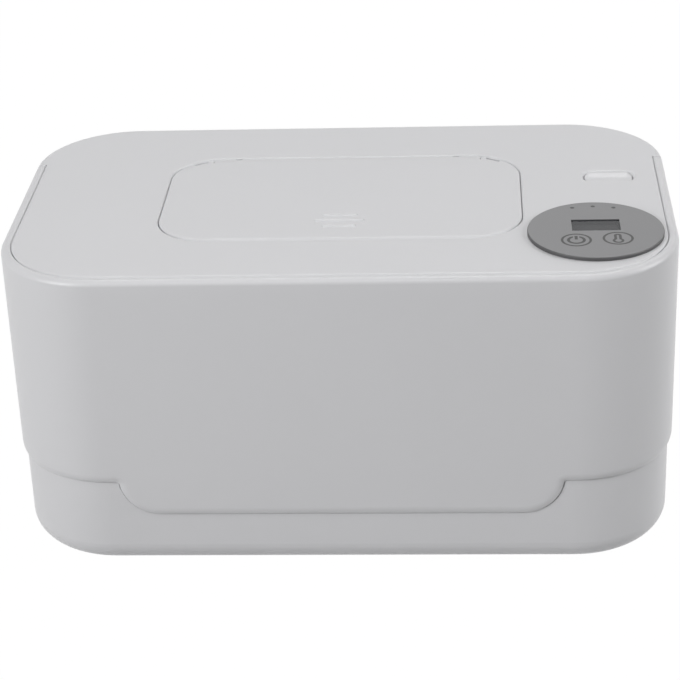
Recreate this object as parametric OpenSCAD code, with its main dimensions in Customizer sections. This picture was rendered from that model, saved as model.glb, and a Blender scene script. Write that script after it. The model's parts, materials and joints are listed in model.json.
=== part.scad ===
// Baby wipe warmer: a heated tub in a two-part white housing, with a hinged lid, a small
// flip lid over the dispensing slot, a round control panel and a release button.
// Millimetres. Z is up, the floor is z = 0, X runs to the right and the front faces -Y.

/* [Body] */
// Width of the outer shell, left to right
body_w = 240; // [220:1:270]
// Depth of the outer shell, front to back
body_d = 143; // [140:1:160]
// Height of the closed housing above its own underside
body_h = 115; // [108:1:130]
// Radius of the upright corners in plan
corner_r = 36.4; // [34:0.2:38]
// Wall of the outer shell
shell_wall = 2.6; // [2.2:0.1:3]
// Width of the rim that frames the lid
rim_w = 3.4; // [3.2:0.1:4]
// Radius of the rolled outer edge of the rim
rim_roll_r = 2.1; // [1.2:0.1:2.6]
// Height the feet hold the housing off the floor
foot_proud = 1; // [0.6:0.1:2]

/* [Seam and apron] */
// Height of the seam between shell and base above the underside
seam_h = 35.3; // [33:0.1:35.5]
// Height of the apron's lower edge above the underside
apron_h = 22; // [22:0.1:24]
// Distance of the apron's upright edges from the shell's sides
apron_side = 40.5; // [39:0.5:55]
// Radius of the apron's lower corners
apron_r = 14.5; // [14:0.1:16]
// Height over which the shell's lower lip slopes in
lip_h = 3.3; // [2:0.1:4]
// How far the lip slopes in
lip_in = 0.9; // [0.5:0.1:1.2]
// Open shadow line between shell and base
seam_gap = 0.4; // [0.3:0.05:0.8]

/* [Base] */
// Step in from the shell's face to the base's face
base_inset = 1.45; // [0.8:0.05:1.6]
// Radius of the base's lower edge
base_edge_r = 8.8; // [7:0.1:10]
// Wall and floor of the base
base_wall = 2.5; // [2.2:0.1:3]
// Thickness of the upright tongue that locates the shell
tongue_t = 1.8; // [1.4:0.1:2.2]
// Radius of a foot
foot_r = 7; // [6:0.5:8]
// Distance of the feet from the shell's sides
foot_side = 34; // [32:1:36]
// Distance of the feet from the shell's front and back
foot_end = 31.5; // [30.5:0.5:33.5]

/* [Tub and heater] */
// Distance from the shell's sides to the inside of the tub
tub_side = 17; // [16:0.5:22]
// Distance from the shell's front and back to the inside of the tub
tub_end = 17.5; // [17.5:0.5:21.5]
// Inside radius of the tub's upright corners
tub_r = 22; // [21:0.5:24]
// Wall of the tub
tub_wall = 2.2; // [1.8:0.1:2.4]
// Height of the tub's underside above the base's underside
tub_h = 30; // [29:0.5:33]
// Thickness of the tub's flange
flange_t = 2.4; // [2:0.1:3]
// Length of the heat spreader plate
plate_l = 150; // [130:1:156]
// Depth of the heat spreader plate
plate_d = 68; // [56:1:68]
// Thickness of the heat spreader plate
plate_t = 1.5; // [1:0.1:2]

/* [Lid] */
// Open seam between the lid and the rim
lid_gap = 0.3; // [0.3:0.05:0.6]
// Overall depth of the closed lid
lid_t = 9.7; // [9.4:0.1:11]
// Top plate and skirt of the lid
lid_wall = 2.2; // [2:0.1:2.4]
// Radius of the lid's upper edge
lid_edge_r = 1.5; // [1.2:0.1:1.8]
// Thickness of the lid's lower cover
liner_t = 2; // [1.6:0.1:2.2]
// Depth of the hinge axis below the lid's face
lid_axis_down = 3.7; // [3.6:0.05:3.8]
// Distance of the hinge axis from the lid's back edge
lid_axis_in = 4.5; // [4.2:0.1:4.8]
// Distance of the two hinges from the shell's sides
hinge_side = 50; // [48:1:54]
// Radius of the hinge pins
pin_r = 1; // [0.9:0.05:1.1]

/* [Flip lid] */
// Land between the flip lid and the control panel
flip_land = 1.5; // [1:0.1:5]
// Depth of the flip lid
flip_d = 75; // [73:0.5:77]
// Radius of the flip lid's corners in plan
flip_r = 19; // [17:0.5:20]
// Plate of the flip lid
flip_t = 2.2; // [2:0.1:2.3]
// Radius of the flip lid's upper edge
flip_edge_r = 1.6; // [1.4:0.1:1.8]
// Open seam at the sides and front of the flip lid
flip_gap = 0.3; // [0.3:0.05:0.5]
// Wider open seam behind the flip lid, which its corners need as it swings
flip_back_gap = 1.3; // [1.2:0.05:1.5]
// Rounding of the lid's edge round the flip lid
pocket_edge_r = 1; // [0.9:0.05:1.2]
// Distance between the three grip lines
grip_pitch = 4.8; // [4:0.1:5]
// Half length of the dispensing slot
slot_half = 32; // [24:1:34]
// Width of the dispensing slot
slot_w = 14; // [12:0.5:18]

/* [Control panel] */
// Radius of the round control panel
panel_r = 24; // [22.5:0.1:24]
// How far the panel stands proud of the lid
panel_proud = 1.45; // [1.2:0.05:1.8]
// Distance of the panel's middle from the shell's right side
panel_side = 29; // [29:0.5:31]
// Distance of the panel's middle from the shell's front
panel_front = 36.5; // [35.5:0.5:37.5]
// Width of the display window
window_w = 17; // [15:0.5:18]
// Depth of the display window
window_d = 9.6; // [8:0.2:10]

/* [Release button] */
// Length of the release button
button_l = 17.4; // [16:0.2:18]
// Depth of the release button
button_d = 8; // [7.4:0.2:9]
// Radius of its corners in plan
button_r = 3.2; // [2.6:0.1:3.4]
// How far its scooped face drops from the front to the back
dish_deep = 1.5; // [1:0.1:1.7]
// Rounding of the lid's edge round the button
button_edge_r = 1.6; // [1:0.1:1.8]
// Distance of the button's middle from the shell's right side
button_side = 21.5; // [21:0.5:23]
// Distance of the button's middle behind the body's middle
button_y = 16.6; // [15:0.2:18]

/* [Inlet] */
// Radius of the well that takes the body of the power plug
well_r = 5.5; // [5:0.1:6]
// Depth of the plug well
well_l = 6; // [5:0.1:7]
// Distance of the inlet from the shell's right side
inlet_side = 50; // [50:1:58]

/* [Hidden] */
$fn = 64;

WHITE = [0.86, 0.87, 0.88];
OFF_WHITE = [0.80, 0.81, 0.82];
GREY = [0.50, 0.51, 0.53];
DARK = [0.12, 0.12, 0.13];
RUBBER = [0.72, 0.73, 0.75];
STEEL = [0.70, 0.71, 0.73];
FOAM = [0.93, 0.92, 0.88];
BOARD = [0.10, 0.38, 0.22];
AMBER = [0.80, 0.45, 0.12];

eps = 0.01;
over = 1;
// Clearances: moving pieces, plug-in pieces, and a shaft in its bore.
run_gap = 0.3;
seat_gap = 0.25;
shaft_gap = 0.05;

// Heights above the floor.
base_z = foot_proud;
top_z = base_z + body_h;
seam_z = base_z + seam_h;
apron_z = base_z + apron_h;
lid_z = top_z - lid_t;
gasket_h = 2;
flange_z = lid_z - gasket_h - run_gap;
ledge_z = flange_z - flange_t;
ledge_t = 3;
tub_z = base_z + tub_h;
floor_z = base_z + base_wall;

// Places that keep their distance from the shell's sides, front and back.
foot_x = body_w / 2 - foot_side;
foot_y = body_d / 2 - foot_end;
hinge_x = body_w / 2 - hinge_side;
panel_x = body_w / 2 - panel_side;
panel_y = body_d / 2 - panel_front;
button_x = body_w / 2 - button_side;
inlet_x = body_w / 2 - inlet_side;
apron_w = body_w - 2 * apron_side;
tub_w = body_w - 2 * tub_side;
tub_d = body_d - 2 * tub_end;
flip_w = 2 * (panel_x - panel_r - flip_land);

// Plan sizes of the shell's rim, its ledge and the lid.
rim_in_w = body_w - 2 * rim_w;
rim_in_d = body_d - 2 * rim_w;
ledge_w = 9;
lid_w = rim_in_w - 2 * lid_gap;
lid_front = rim_in_d / 2 - lid_gap;
lid_r = corner_r - rim_w - lid_gap;
lid_back_wall = 2.6;
// The rim ends where the back corners begin; behind it the lid takes the shell's full outline.
rim_end = body_d / 2 - corner_r;

// Apron: centre of its lower corner, the angle this turns through up to the seam, and its reach.
apron_mid = [apron_w / 2 - apron_r, apron_z + apron_r];
apron_turn = acos(1 - (seam_z - apron_z) / apron_r);
apron_reach = apron_mid.x + apron_r * sin(apron_turn);
lip_slope = lip_in / lip_h;

// Tub: outside of its wall.
tub_out_w = tub_w + 2 * tub_wall;
tub_out_d = tub_d + 2 * tub_wall;
tub_out_r = tub_r + tub_wall;
tub_edge_r = 6;
tub_rib_pitch = 24;
tub_rib_r = 1.2;
boss_l = 7;
boss_z = tub_z - boss_l;

// Main hinge: axis, eye of the ears, barrel of the lid.
axis_y = body_d / 2 - lid_axis_in;
axis_z = top_z - lid_axis_down;
swing_r = axis_z - lid_z;
eye_r = pin_r + 1.2;
barrel_r = pin_r + 1.6;
barrel_l = 14;
ear_t = 3;
ear_x = [for (s = [-1, 1]) s * (barrel_l / 2 + run_gap + ear_t / 2)];
pin_l = barrel_l + 2 * (run_gap + ear_t);

// Flip lid and its pocket.
pocket_w = flip_w + 2 * flip_gap;
pocket_d = flip_d + flip_gap + flip_back_gap;
pocket_y = (flip_back_gap - flip_gap) / 2;
pocket_r = flip_r + flip_gap;
pocket_wall = 1.8;
pocket_z = lid_z + pocket_wall;
flip_axis_down = 1.2;
flip_axis_in = 1.3;
flip_axis_y = flip_d / 2 - flip_axis_in;
flip_axis_z = top_z - flip_axis_down;
flip_pin_r = 0.6;
flip_eye_r = 1.1;
flip_barrel_r = 1.2;
flip_barrel_l = 8;
flip_ear_t = 2;
flip_hinge_x = flip_w / 2 - 18.5;
flip_ear_x = [for (s = [-1, 1]) s * (flip_barrel_l / 2 + run_gap + flip_ear_t / 2)];
flip_pin_l = flip_barrel_l + 2 * (run_gap + flip_ear_t);

// Dispensing port: a soft insert in a long round-ended hole.
port_y = -2;
port_side = 17.5;
port_w = flip_w - 2 * port_side;
port_d = 40;
insert_brim = 3;
insert_t = 1.2;
insert_z = pocket_z + insert_t;
seal_t = 1.6;
catch_y = -31;
catch_w = 12;
hook_t = 2;

// Grip lines near the flip lid's front edge.
grip_y = -21.6;
grip_l = [12.4, 17.6, 11.5];
grip_r = 1;
grip_proud = 0.6;

// Control panel: spigot, board and the faces of what sits on it.
panel_mid = [panel_x, -panel_y];
spigot_r = panel_r - 1.8;
spigot_t = 1;
spigot_l = 2.6;
cover_t = 2;
panel_edge_r = 0.5;
panel_top = top_z + panel_proud;
cover_low = panel_top - cover_t;
window_t = 0.8;
window_down = 0.35;
window_ledge = 1;
board_t = 1.6;
board_r = 19;
board_z = lid_z + liner_t + 0.9;
board_top = board_z + board_t;
window_mid = panel_mid + [0.2, 3.5];
display_size = [window_w + 5, window_d + 4];
key_mid = [panel_mid + [-7.2, -9.2], panel_mid + [7.3, -8.1]];
led_mid = [panel_mid + [-7.4, 18.9], panel_mid + [0, 19.9], panel_mid + [7.3, 18.6]];
led_r = 0.75;
touch_r = 3.4;

// Release button.
button_flange = 1.4;
button_top = top_z + 0.1;
button_lip = 1.2;
dish_r = (pow(button_d - button_lip, 2) + dish_deep * dish_deep) / (2 * dish_deep);
plate_under = top_z - lid_wall;
flange_top = plate_under - run_gap;
flange_low = flange_top - 1.2;
liner_top = lid_z + liner_t;

// Latch: a bolt in the lid that hooks under a striker on the tub's flange.
bolt_t = 1.4;
bolt_z = liner_top + run_gap;
bolt_w = 8;
striker_t = 1;
striker_w = 5;
striker_x = lid_w / 2 - lid_wall - 1.6;
striker_hook = 2;
striker_foot = 5;
bolt_reach = striker_x - 0.4;
leg_w = 4;
leg_t = 1.8;
leg_end = bolt_z + 0.4;
leg_right = bolt_reach - 3.4;

// Screws.
base_screw_r = 1.45;
post_r = 5;
post_top = boss_z - seat_gap;
head_z = post_top - 5;
lid_screw_front = [body_w / 2 - 48, 10.5 - body_d / 2];
lid_screw_back = [body_w / 2 - 10, body_d / 2 - 33.5];
lid_screw_mid = [for (p = [lid_screw_front, lid_screw_back], s = [-1, 1]) [s * p.x, p.y]];
lid_screw_r = 1.2;
lid_head_r = 2.4;
lid_boss_r = 3;

// Heater stack below the tub, from the top down.
film_t = 0.6;
pad_t = 5;
film_z = tub_z - plate_t - film_t;
pad_z = film_z - pad_t;
band_t = 5;
band_z = tub_z + 24;
band_h = ledge_z - ledge_t - band_z - 2;

// Power board and inlet.
inlet_z = base_z + 14;
jack_size = [9.5, 12, 11];
board_low = inlet_z - jack_size.z / 2 - board_t;
jack_back = body_d / 2 - base_inset - well_l - 1.5;
pad_rib_t = 2;
pad_rib_l = 60;
power_w = 60;
power_d = 54;
power_mid = [inlet_x - 20, jack_back - power_d / 2];

// Plan outline of a rounded rectangle.
module outline(w, d, r) {
    square([w - 2 * r, d], center = true);
    square([w, d - 2 * r], center = true);
    for (x = [-1, 1], y = [-1, 1]) translate([x * (w / 2 - r), y * (d / 2 - r)]) circle(r);
}

module slab(w, d, r, h) linear_extrude(h) outline(w, d, r);

// Half section of a block with rounded upper and lower edges, from its corner's axis out.
module edge_section(r, h, top, bottom) {
    difference() {
        square([r, h]);
        if (top > 0) translate([r - top, h - top]) difference() {
            square(top + over);
            circle(top);
        }
        if (bottom > 0) translate([r - bottom, bottom]) mirror([0, 1]) difference() {
            square(bottom + over);
            circle(bottom);
        }
    }
}

// Carries a section round a rounded rectangle: corners as sectors, sides as straight runs.
module corner_runs(w, d, r)
    for (x = [0, 1], y = [0, 1]) mirror([x, 0, 0]) mirror([0, y, 0])
        translate([w / 2 - r, d / 2 - r, 0]) rotate_extrude(angle = 90) translate([r, 0]) children();

module side_runs(w, d, r)
    for (x = [0, 1]) mirror([x, 0, 0])
        translate([w / 2, d / 2 - r, 0]) rotate([90, 0, 0]) linear_extrude(d - 2 * r) children();

module back_run(w, d, r)
    translate([-(w / 2 - r), d / 2, 0]) rotate([90, 0, 90]) linear_extrude(w - 2 * r) children();

module around(w, d, r) {
    corner_runs(w, d, r) children();
    side_runs(w, d, r) children();
    back_run(w, d, r) children();
    mirror([0, 1, 0]) back_run(w, d, r) children();
}

// Section of what rounding takes off the edge of an opening: x runs away from the opening.
module edge_round(r) difference() {
    square([r, r + over]);
    translate([r, 0]) circle(r);
}

// Block with a rounded rectangular plan and rounded upper and lower edges.
module soft_block(w, d, r, h, top = 0, bottom = 0) {
    around(w, d, r) translate([-r, 0]) edge_section(r, h, top, bottom);
    translate([-(w / 2 - r), -(d / 2 - r), 0]) cube([w - 2 * r, d - 2 * r, h]);
}

// Long round-ended plan shape, such as the slot.
module oval(w, d) {
    square([w - d, d], center = true);
    for (x = [-1, 1]) translate([x * (w - d) / 2, 0]) circle(d / 2);
}

// Cylinder lying along X, centred.
module rod(r, l) rotate([0, 90, 0]) cylinder(r = r, h = l, center = true);

// Round tube swept along a list of points and closed at both ends; its rings turn about ref.
function unit(v) = v / norm(v);
function heading(p, i) = unit(p[min(i + 1, len(p) - 1)] - p[max(i - 1, 0)]);
module tube(p, r, sides, ref) {
    rings = [for (i = [0 : len(p) - 1]) let (t = heading(p, i), u = unit(cross(t, ref)), v = cross(t, u))
        for (k = [0 : sides - 1]) p[i] + r * (cos(360 * k / sides) * u + sin(360 * k / sides) * v)];
    walls = [for (i = [0 : len(p) - 2], k = [0 : sides - 1])
        let (n = (k + 1) % sides, a = i * sides, b = a + sides)
            each [[a + k, b + k, b + n], [a + k, b + n, a + n]]];
    caps = [[for (k = [0 : sides - 1]) k], [for (k = [1 : sides]) len(p) * sides - k]];
    polyhedron(rings, concat(walls, caps));
}

// Upright coil spring standing on z = 0.
module coil(r, wire, h, turns, steps = 10) {
    n = turns * steps;
    tube([for (i = [0 : n]) [r * cos(360 * i / steps), r * sin(360 * i / steps),
        wire + (h - 2 * wire) * i / n]], wire, 6, [0, 0, 1]);
}

// Front view of the apron below the seam, grown by a gap for the base's relief.
module apron_outline(grow = 0) {
    low = apron_z - grow;
    translate([-apron_mid.x, low]) square([2 * apron_mid.x, seam_z - low]);
    for (x = [0, 1]) mirror([x, 0]) intersection() {
        translate(apron_mid) circle(apron_r + grow);
        square([body_w, seam_z]);
    }
}

// Section of what the lip's slope takes off: x runs to the edge and past it, y into the wall.
module lip_section() {
    past = lip_h + over;
    polygon([[-seam_gap / lip_slope, -seam_gap], [past, -seam_gap], [past, past * lip_slope]]);
}

module upright_lip_section() translate([0, seam_z + lip_h]) mirror([1, 1]) lip_section();

// A straight length of the lip's slope on the front face, from one place to another.
module front_lip(from, to, edge_z) translate([from, -body_d / 2, edge_z + lip_h])
    rotate([0, 90, 0]) linear_extrude(to - from) lip_section();

// Section of the shell's wall, with its rolled rim and the ledge that carries the tub.
module shell_section() {
    difference() {
        union() {
            translate([-shell_wall, seam_z]) square([shell_wall, top_z - seam_z]);
            translate([-rim_w, ledge_z - ledge_t]) square([rim_w, top_z - ledge_z + ledge_t]);
            translate([-ledge_w, ledge_z - ledge_t]) square([ledge_w, ledge_t]);
        }
        translate([-rim_roll_r, top_z - rim_roll_r]) difference() {
            square(rim_roll_r + over);
            circle(rim_roll_r);
        }
    }
}

// Side view of what lies behind and below the hinge, beyond a round about its axis.
module beyond_swing(r) difference() {
    translate([0, -r - over]) square(r + over);
    circle(r);
}

// Carries a side view along the main hinge, from one side of the body to the other.
module along_hinge() translate([-body_w / 2 - over, axis_y, axis_z]) rotate([90, 0, 90])
    linear_extrude(body_w + 2 * over) children();

// What the shell gives up behind the rim, where the lid reaches the full outline and swings down.
module lid_swing_room() along_hinge() difference() {
    translate([rim_end - axis_y, -swing_r - run_gap]) square(body_d / 2);
    beyond_swing(swing_r + run_gap);
}

// The shell with a plain lower edge, then with the lip sloped round the body, then also in front.
module plain_shell() {
    around(body_w, body_d, corner_r) shell_section();
    translate([0, -body_d / 2 + shell_wall, 0]) rotate([90, 0, 0])
        linear_extrude(shell_wall) apron_outline();
}

module back_lipped() difference() {
    plain_shell();
    corner_runs(body_w, body_d, corner_r) upright_lip_section();
    side_runs(body_w, body_d, corner_r) upright_lip_section();
    back_run(body_w, body_d, corner_r) upright_lip_section();
}

module seam_lipped() difference() {
    back_lipped();
    for (x = [0, 1]) mirror([x, 0, 0])
        front_lip(apron_reach + over / 2, body_w / 2 - corner_r, seam_z);
}

module apron_lipped() difference() {
    difference() {
        seam_lipped();
        front_lip(-apron_mid.x, apron_mid.x, apron_z);
    }
    for (x = [0, 1]) mirror([x, 0, 0])
        translate([apron_mid.x, -body_d / 2, apron_mid.y]) rotate([90, 0, 0]) rotate(-90)
            rotate_extrude(angle = apron_turn) translate([apron_r - lip_h, 0]) mirror([0, 1])
                lip_section();
}

module outer_shell() color(WHITE) difference() {
    apron_lipped();
    lid_swing_room();
}

// Four places at the same distance each side of the middle.
module four(x, y) for (i = [-1, 1], j = [-1, 1]) translate([i * x, j * y, 0]) children();

module base_shell() color(WHITE) difference() {
    face_w = body_w - 2 * base_inset;
    face_d = body_d - 2 * base_inset;
    face_r = corner_r - base_inset;
    tongue_in = shell_wall + seat_gap;
    union() {
        difference() {
            translate([0, 0, base_z])
                soft_block(face_w, face_d, face_r, seam_h - seam_gap, bottom = base_edge_r);
            translate([0, 0, floor_z]) soft_block(face_w - 2 * base_wall, face_d - 2 * base_wall,
                face_r - base_wall, body_h, bottom = base_edge_r - base_wall);
            translate([0, -body_d / 2 + tongue_in, 0]) rotate([90, 0, 0])
                linear_extrude(tongue_in + over) apron_outline(seam_gap);
        }
        around(body_w, body_d, corner_r) translate([-tongue_in - tongue_t, apron_z - 8])
            square([tongue_t, seam_z - apron_z + 14]);
        four(foot_x, foot_y) translate([0, 0, base_z + 1]) cylinder(r = post_r, h = post_top - base_z - 1);
        for (x = [-40, power_mid.x - power_w / 2 - 6])
            translate([x - pad_rib_t / 2, -pad_rib_l / 2, floor_z - eps])
                cube([pad_rib_t, pad_rib_l, pad_z - floor_z + eps]);
        for (x = [-1, 1], y = [-1, 1]) translate([power_mid.x + x * (power_w / 2 - 4),
            power_mid.y + y * (power_d / 2 - 5), floor_z - eps])
                cylinder(r = 2.5, h = board_low - floor_z + eps);
        translate([inlet_x, body_d / 2 - base_inset - base_wall, inlet_z]) rotate([90, 0, 0])
            cylinder(r = well_r + 2, h = well_l + 1.5 - base_wall);
    }
    translate([inlet_x, body_d / 2 + over, inlet_z]) rotate([90, 0, 0])
        cylinder(r = well_r, h = base_inset + well_l + over);
    translate([inlet_x, body_d / 2, inlet_z]) rotate([90, 0, 0])
        cylinder(r = 4.1, h = body_d / 2 - jack_back + over);
    four(foot_x, foot_y) {
        translate([0, 0, base_z - over]) cylinder(r = foot_r + seat_gap, h = over + 1);
        translate([0, 0, base_z]) cylinder(r = base_screw_r + 2, h = head_z - base_z);
        translate([0, 0, base_z]) cylinder(r = base_screw_r + 0.25, h = post_top);
    }
}

// Ear that holds one end of a hinge pin: an eye on a leg that stands on the given height.
module ear(r, t, leg_front, leg_back, down) {
    rod(r, t);
    translate([-t / 2, -leg_front, -down]) cube([t, leg_front + leg_back, down]);
}

module wipe_tub() color(OFF_WHITE) difference() {
    union() {
        translate([0, 0, tub_z]) soft_block(tub_out_w, tub_out_d, tub_out_r,
            flange_z - tub_z, bottom = tub_edge_r);
        translate([0, 0, ledge_z]) slab(rim_in_w - 2 * seat_gap, rim_in_d - 2 * seat_gap,
            corner_r - rim_w - seat_gap, flange_t);
        four(foot_x, foot_y) translate([0, 0, boss_z]) cylinder(r = 4, h = boss_l + 2);
        for (h = [-1, 1], e = ear_x) translate([h * hinge_x + e, axis_y, axis_z])
            ear(eye_r, ear_t, eye_r, 0.7, axis_z - flange_z + 1);
    }
    difference() {
        translate([0, 0, tub_z + tub_wall]) soft_block(tub_w, tub_d, tub_r,
            flange_z - tub_z, bottom = tub_edge_r - tub_wall);
        for (i = [-3 : 3]) translate([i * tub_rib_pitch, 0, tub_z + tub_wall])
            rotate([90, 0, 0]) cylinder(r = tub_rib_r, h = tub_d - 30, center = true);
    }
    for (h = [-1, 1]) translate([h * hinge_x, axis_y, axis_z]) rod(pin_r + 0.01, pin_l + over);
    four(foot_x, foot_y) translate([0, 0, boss_z - over])
        cylinder(r = base_screw_r + 0.05, h = boss_l + over);
}

module heat_plate() color(STEEL)
    translate([0, 0, tub_z - plate_t]) slab(plate_l, plate_d, 8, plate_t);

module heating_film() color(AMBER) {
    translate([0, 0, film_z]) slab(plate_l - 8, plate_d - 6, 6, film_t);
}

module insulation_pad() color(FOAM)
    translate([0, 0, pad_z]) slab(plate_l - 34, plate_d - 2, 6, pad_t);

module insulation_band() color(FOAM) difference() {
    face = seat_gap + band_t;
    translate([0, 0, band_z])
        slab(tub_out_w + 2 * face, tub_out_d + 2 * face, tub_out_r + face, band_h);
    translate([0, 0, band_z - over]) slab(tub_out_w + 2 * seat_gap, tub_out_d + 2 * seat_gap,
        tub_out_r + seat_gap, band_h + 2 * over);
}

module thermal_fuse() color(STEEL) translate([plate_l / 2 - 9, 10, film_z - 2.1]) rotate([0, 90, 90]) {
    cylinder(r = 2, h = 11, center = true);
    cylinder(r = 0.5, h = 17, center = true);
}

module temperature_sensor() color(DARK) translate([9 - plate_l / 2, 0, film_z - 1.6]) rotate([0, 90, 90]) {
    cylinder(r = 1.5, h = 5, center = true);
    translate([0, 0, -7]) cylinder(r = 0.5, h = 5);
}

module power_board() {
    color(BOARD) translate([power_mid.x - power_w / 2, power_mid.y - power_d / 2, board_low])
        cube([power_w, power_d, board_t]);
    translate([power_mid.x, power_mid.y, board_low + board_t - eps]) {
        color(DARK) translate([-20, -18, 0]) cylinder(r = 4, h = 10);
        color(DARK) translate([-10, -20, 0]) cylinder(r = 3, h = 8);
        color(AMBER) translate([2, -22, 0]) cube([12, 12, 8]);
        color(OFF_WHITE) translate([-26, 4, 0]) cube([6, 12, 6]);
        color(DARK) translate([-8, 2, 0]) cube([9, 6, 1.6]);
        color(DARK) translate([18, -20, 0]) cube([5, 10, 9]);
    }
}

module dc_jack() color(DARK) difference() {
    union() {
        translate([inlet_x - jack_size.x / 2, jack_back - jack_size.y, inlet_z - jack_size.z / 2])
            cube(jack_size);
        translate([inlet_x, jack_back - eps, inlet_z]) rotate([-90, 0, 0]) cylinder(r = 4, h = 1.5);
    }
    translate([inlet_x, jack_back - 8, inlet_z]) rotate([-90, 0, 0]) difference() {
        cylinder(r = 3, h = 12);
        translate([0, 0, -over]) cylinder(r = 1, h = 8 + over);
    }
}

// Two leads from the power board's connector up to the heating film.
module heater_leads() color("firebrick") for (s = [-1, 1]) {
    start = [power_mid.x - 23, power_mid.y + 10 + 2.5 * s, board_low + board_t + 6];
    rise = film_z - 0.8 - start.z;
    tube([start, start + [0, 0, 1.5], start + [-0.6, 0, 3], start + [-2, 0, rise - 1.2],
        start + [-4, 0, rise - 0.3], start + [-7, 0, rise], start + [-10, 0, rise]], 0.8, 8, [0, 1, 0]);
}

module rubber_feet() color(RUBBER) four(foot_x, foot_y) {
    rotate_extrude() difference() {
        square([foot_r, base_z + 1]);
        translate([foot_r - 0.6, 0.6]) mirror([0, 1]) difference() {
            square(over);
            circle(0.6);
        }
    }
}

module base_screws() color(STEEL) four(foot_x, foot_y) difference() {
    union() {
        translate([0, 0, head_z - 2.2]) cylinder(r = 2.8, h = 2.2);
        translate([0, 0, head_z - eps]) cylinder(r = base_screw_r, h = boss_z + boss_l - 1 - head_z);
    }
    for (a = [0, 90]) rotate(a) translate([-1.8, -0.35, head_z - 2.2 - over]) cube([3.6, 0.7, 1 + over]);
}

module lid_hinge_pins() color(STEEL)
    for (h = [-1, 1]) translate([h * hinge_x, axis_y, axis_z]) rod(pin_r, pin_l);

// Striker: a bent strip on the tub's flange, with a bevelled hook over the bolt's tip.
module latch_striker() color(STEEL) translate([striker_x, button_y + striker_w / 2, flange_z])
    rotate([90, 0, 0]) linear_extrude(striker_w) {
        hook_z = bolt_z + bolt_t + run_gap - flange_z;
        bevel = 0.7;
        polygon([[-striker_foot, 0], [striker_t, 0], [striker_t, hook_z + striker_t],
            [bevel - striker_hook, hook_z + striker_t], [-striker_hook, hook_z + striker_t - bevel],
            [-striker_hook, hook_z], [0, hook_z], [0, striker_t], [-striker_foot, striker_t]]);
    }

// What the lid gives up round each ear: the eye's swing and the room behind it.
module ear_relief(r, t, back, down) {
    wide = t + 2 * run_gap;
    rod(r + run_gap, wide);
    translate([-wide / 2, 0, -down]) cube([wide, back, down + r + run_gap]);
    translate([-wide / 2, -r - run_gap, -down]) cube([wide, r + run_gap + eps, down]);
}

module lid_hinge_relief() for (h = [-1, 1], e = ear_x)
    translate([h * hinge_x + e, axis_y, axis_z])
        ear_relief(eye_r, ear_t, lid_axis_in + over, lid_t);

// Trims the lid's back edge to a round about the hinge, so that it clears the shell as it swings.
module swing_trim() along_hinge() beyond_swing(swing_r);

// Side view of where the lid takes the full outline, behind the rim's ends. Below the hinge's
// height its front face leans back, so that it clears the rim's ends as it swings.
module behind_rim() {
    reach = axis_y - rim_end - run_gap;
    foot = sqrt(reach * reach - swing_r * swing_r);
    low = -swing_r - over;
    polygon([[-reach, lid_t], [-reach, 0], [-foot, -swing_r], [-foot, low], [body_d / 2, low],
        [body_d / 2, lid_t]]);
}

// Outside of the lid: a block inside the rim, and behind the rim's ends the full outline.
module lid_body() {
    length = lid_front + axis_y;
    translate([0, length / 2 - lid_front, lid_z])
        soft_block(lid_w, length, lid_r, lid_t, top = lid_edge_r);
    intersection() {
        translate([0, 0, lid_z]) soft_block(body_w, body_d, corner_r, lid_t, top = rim_roll_r);
        along_hinge() behind_rim();
    }
}

// Plan of the lid's inside, shrunk by a gap for what fits in it.
module lid_inside(gap, h) {
    front = lid_front - lid_wall - gap;
    back = body_d / 2 - lid_back_wall - gap;
    translate([0, (back - front) / 2, 0])
        slab(lid_w - 2 * (lid_wall + gap), front + back, lid_r - lid_wall - gap, h);
}

module lid_panel() color(WHITE) difference() {
    union() {
        difference() {
            lid_body();
            translate([0, 0, lid_z - over]) lid_inside(0, lid_t - lid_wall + over);
        }
        translate([0, pocket_y, lid_z]) slab(pocket_w + 2 * pocket_wall, pocket_d + 2 * pocket_wall,
            pocket_r + pocket_wall, lid_t - over);
        for (h = [-1, 1]) translate([h * hinge_x, axis_y, axis_z]) {
            rod(barrel_r, barrel_l);
            translate([-barrel_l / 2, -barrel_r, 0]) cube([barrel_l, 2 * barrel_r, lid_axis_down - 1]);
        }
        for (p = lid_screw_mid) translate([p.x, p.y, liner_top + eps])
            cylinder(r = lid_boss_r, h = plate_under - liner_top);
    }
    translate([0, pocket_y, pocket_z]) difference() {
        slab(pocket_w, pocket_d, pocket_r, lid_t);
        for (h = [-1, 1], e = flip_ear_x)
            translate([h * flip_hinge_x + e, flip_axis_y - pocket_y, flip_axis_z - pocket_z])
                ear(flip_eye_r, flip_ear_t, flip_eye_r, 0.5, flip_axis_z - pocket_z + over);
    }
    translate([0, pocket_y, top_z - pocket_edge_r]) around(pocket_w, pocket_d, pocket_r)
        edge_round(pocket_edge_r);
    translate([button_x, button_y, top_z - button_edge_r])
        around(button_l + 2 * run_gap, button_d + 2 * run_gap, button_r + run_gap)
            edge_round(button_edge_r);
    for (h = [-1, 1]) {
        translate([h * flip_hinge_x, flip_axis_y, flip_axis_z]) rod(flip_pin_r + 0.01, flip_pin_l + over);
        translate([h * hinge_x, axis_y, axis_z]) rod(pin_r + shaft_gap, barrel_l + over);
    }
    translate([0, port_y, lid_z - over]) linear_extrude(lid_t) oval(port_w, port_d);
    lid_hinge_relief();
    swing_trim();
    translate([panel_mid.x, panel_mid.y, liner_top + 1]) cylinder(r = spigot_r + 0.2, h = lid_t + over);
    translate([button_x, button_y, liner_top]) linear_extrude(lid_t + over)
        outline(button_l + 2 * run_gap, button_d + 2 * run_gap, button_r + run_gap);
    for (p = lid_screw_mid) translate([p.x, p.y, lid_z])
        cylinder(r = lid_screw_r + 0.05, h = lid_t - lid_wall);
}

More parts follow.
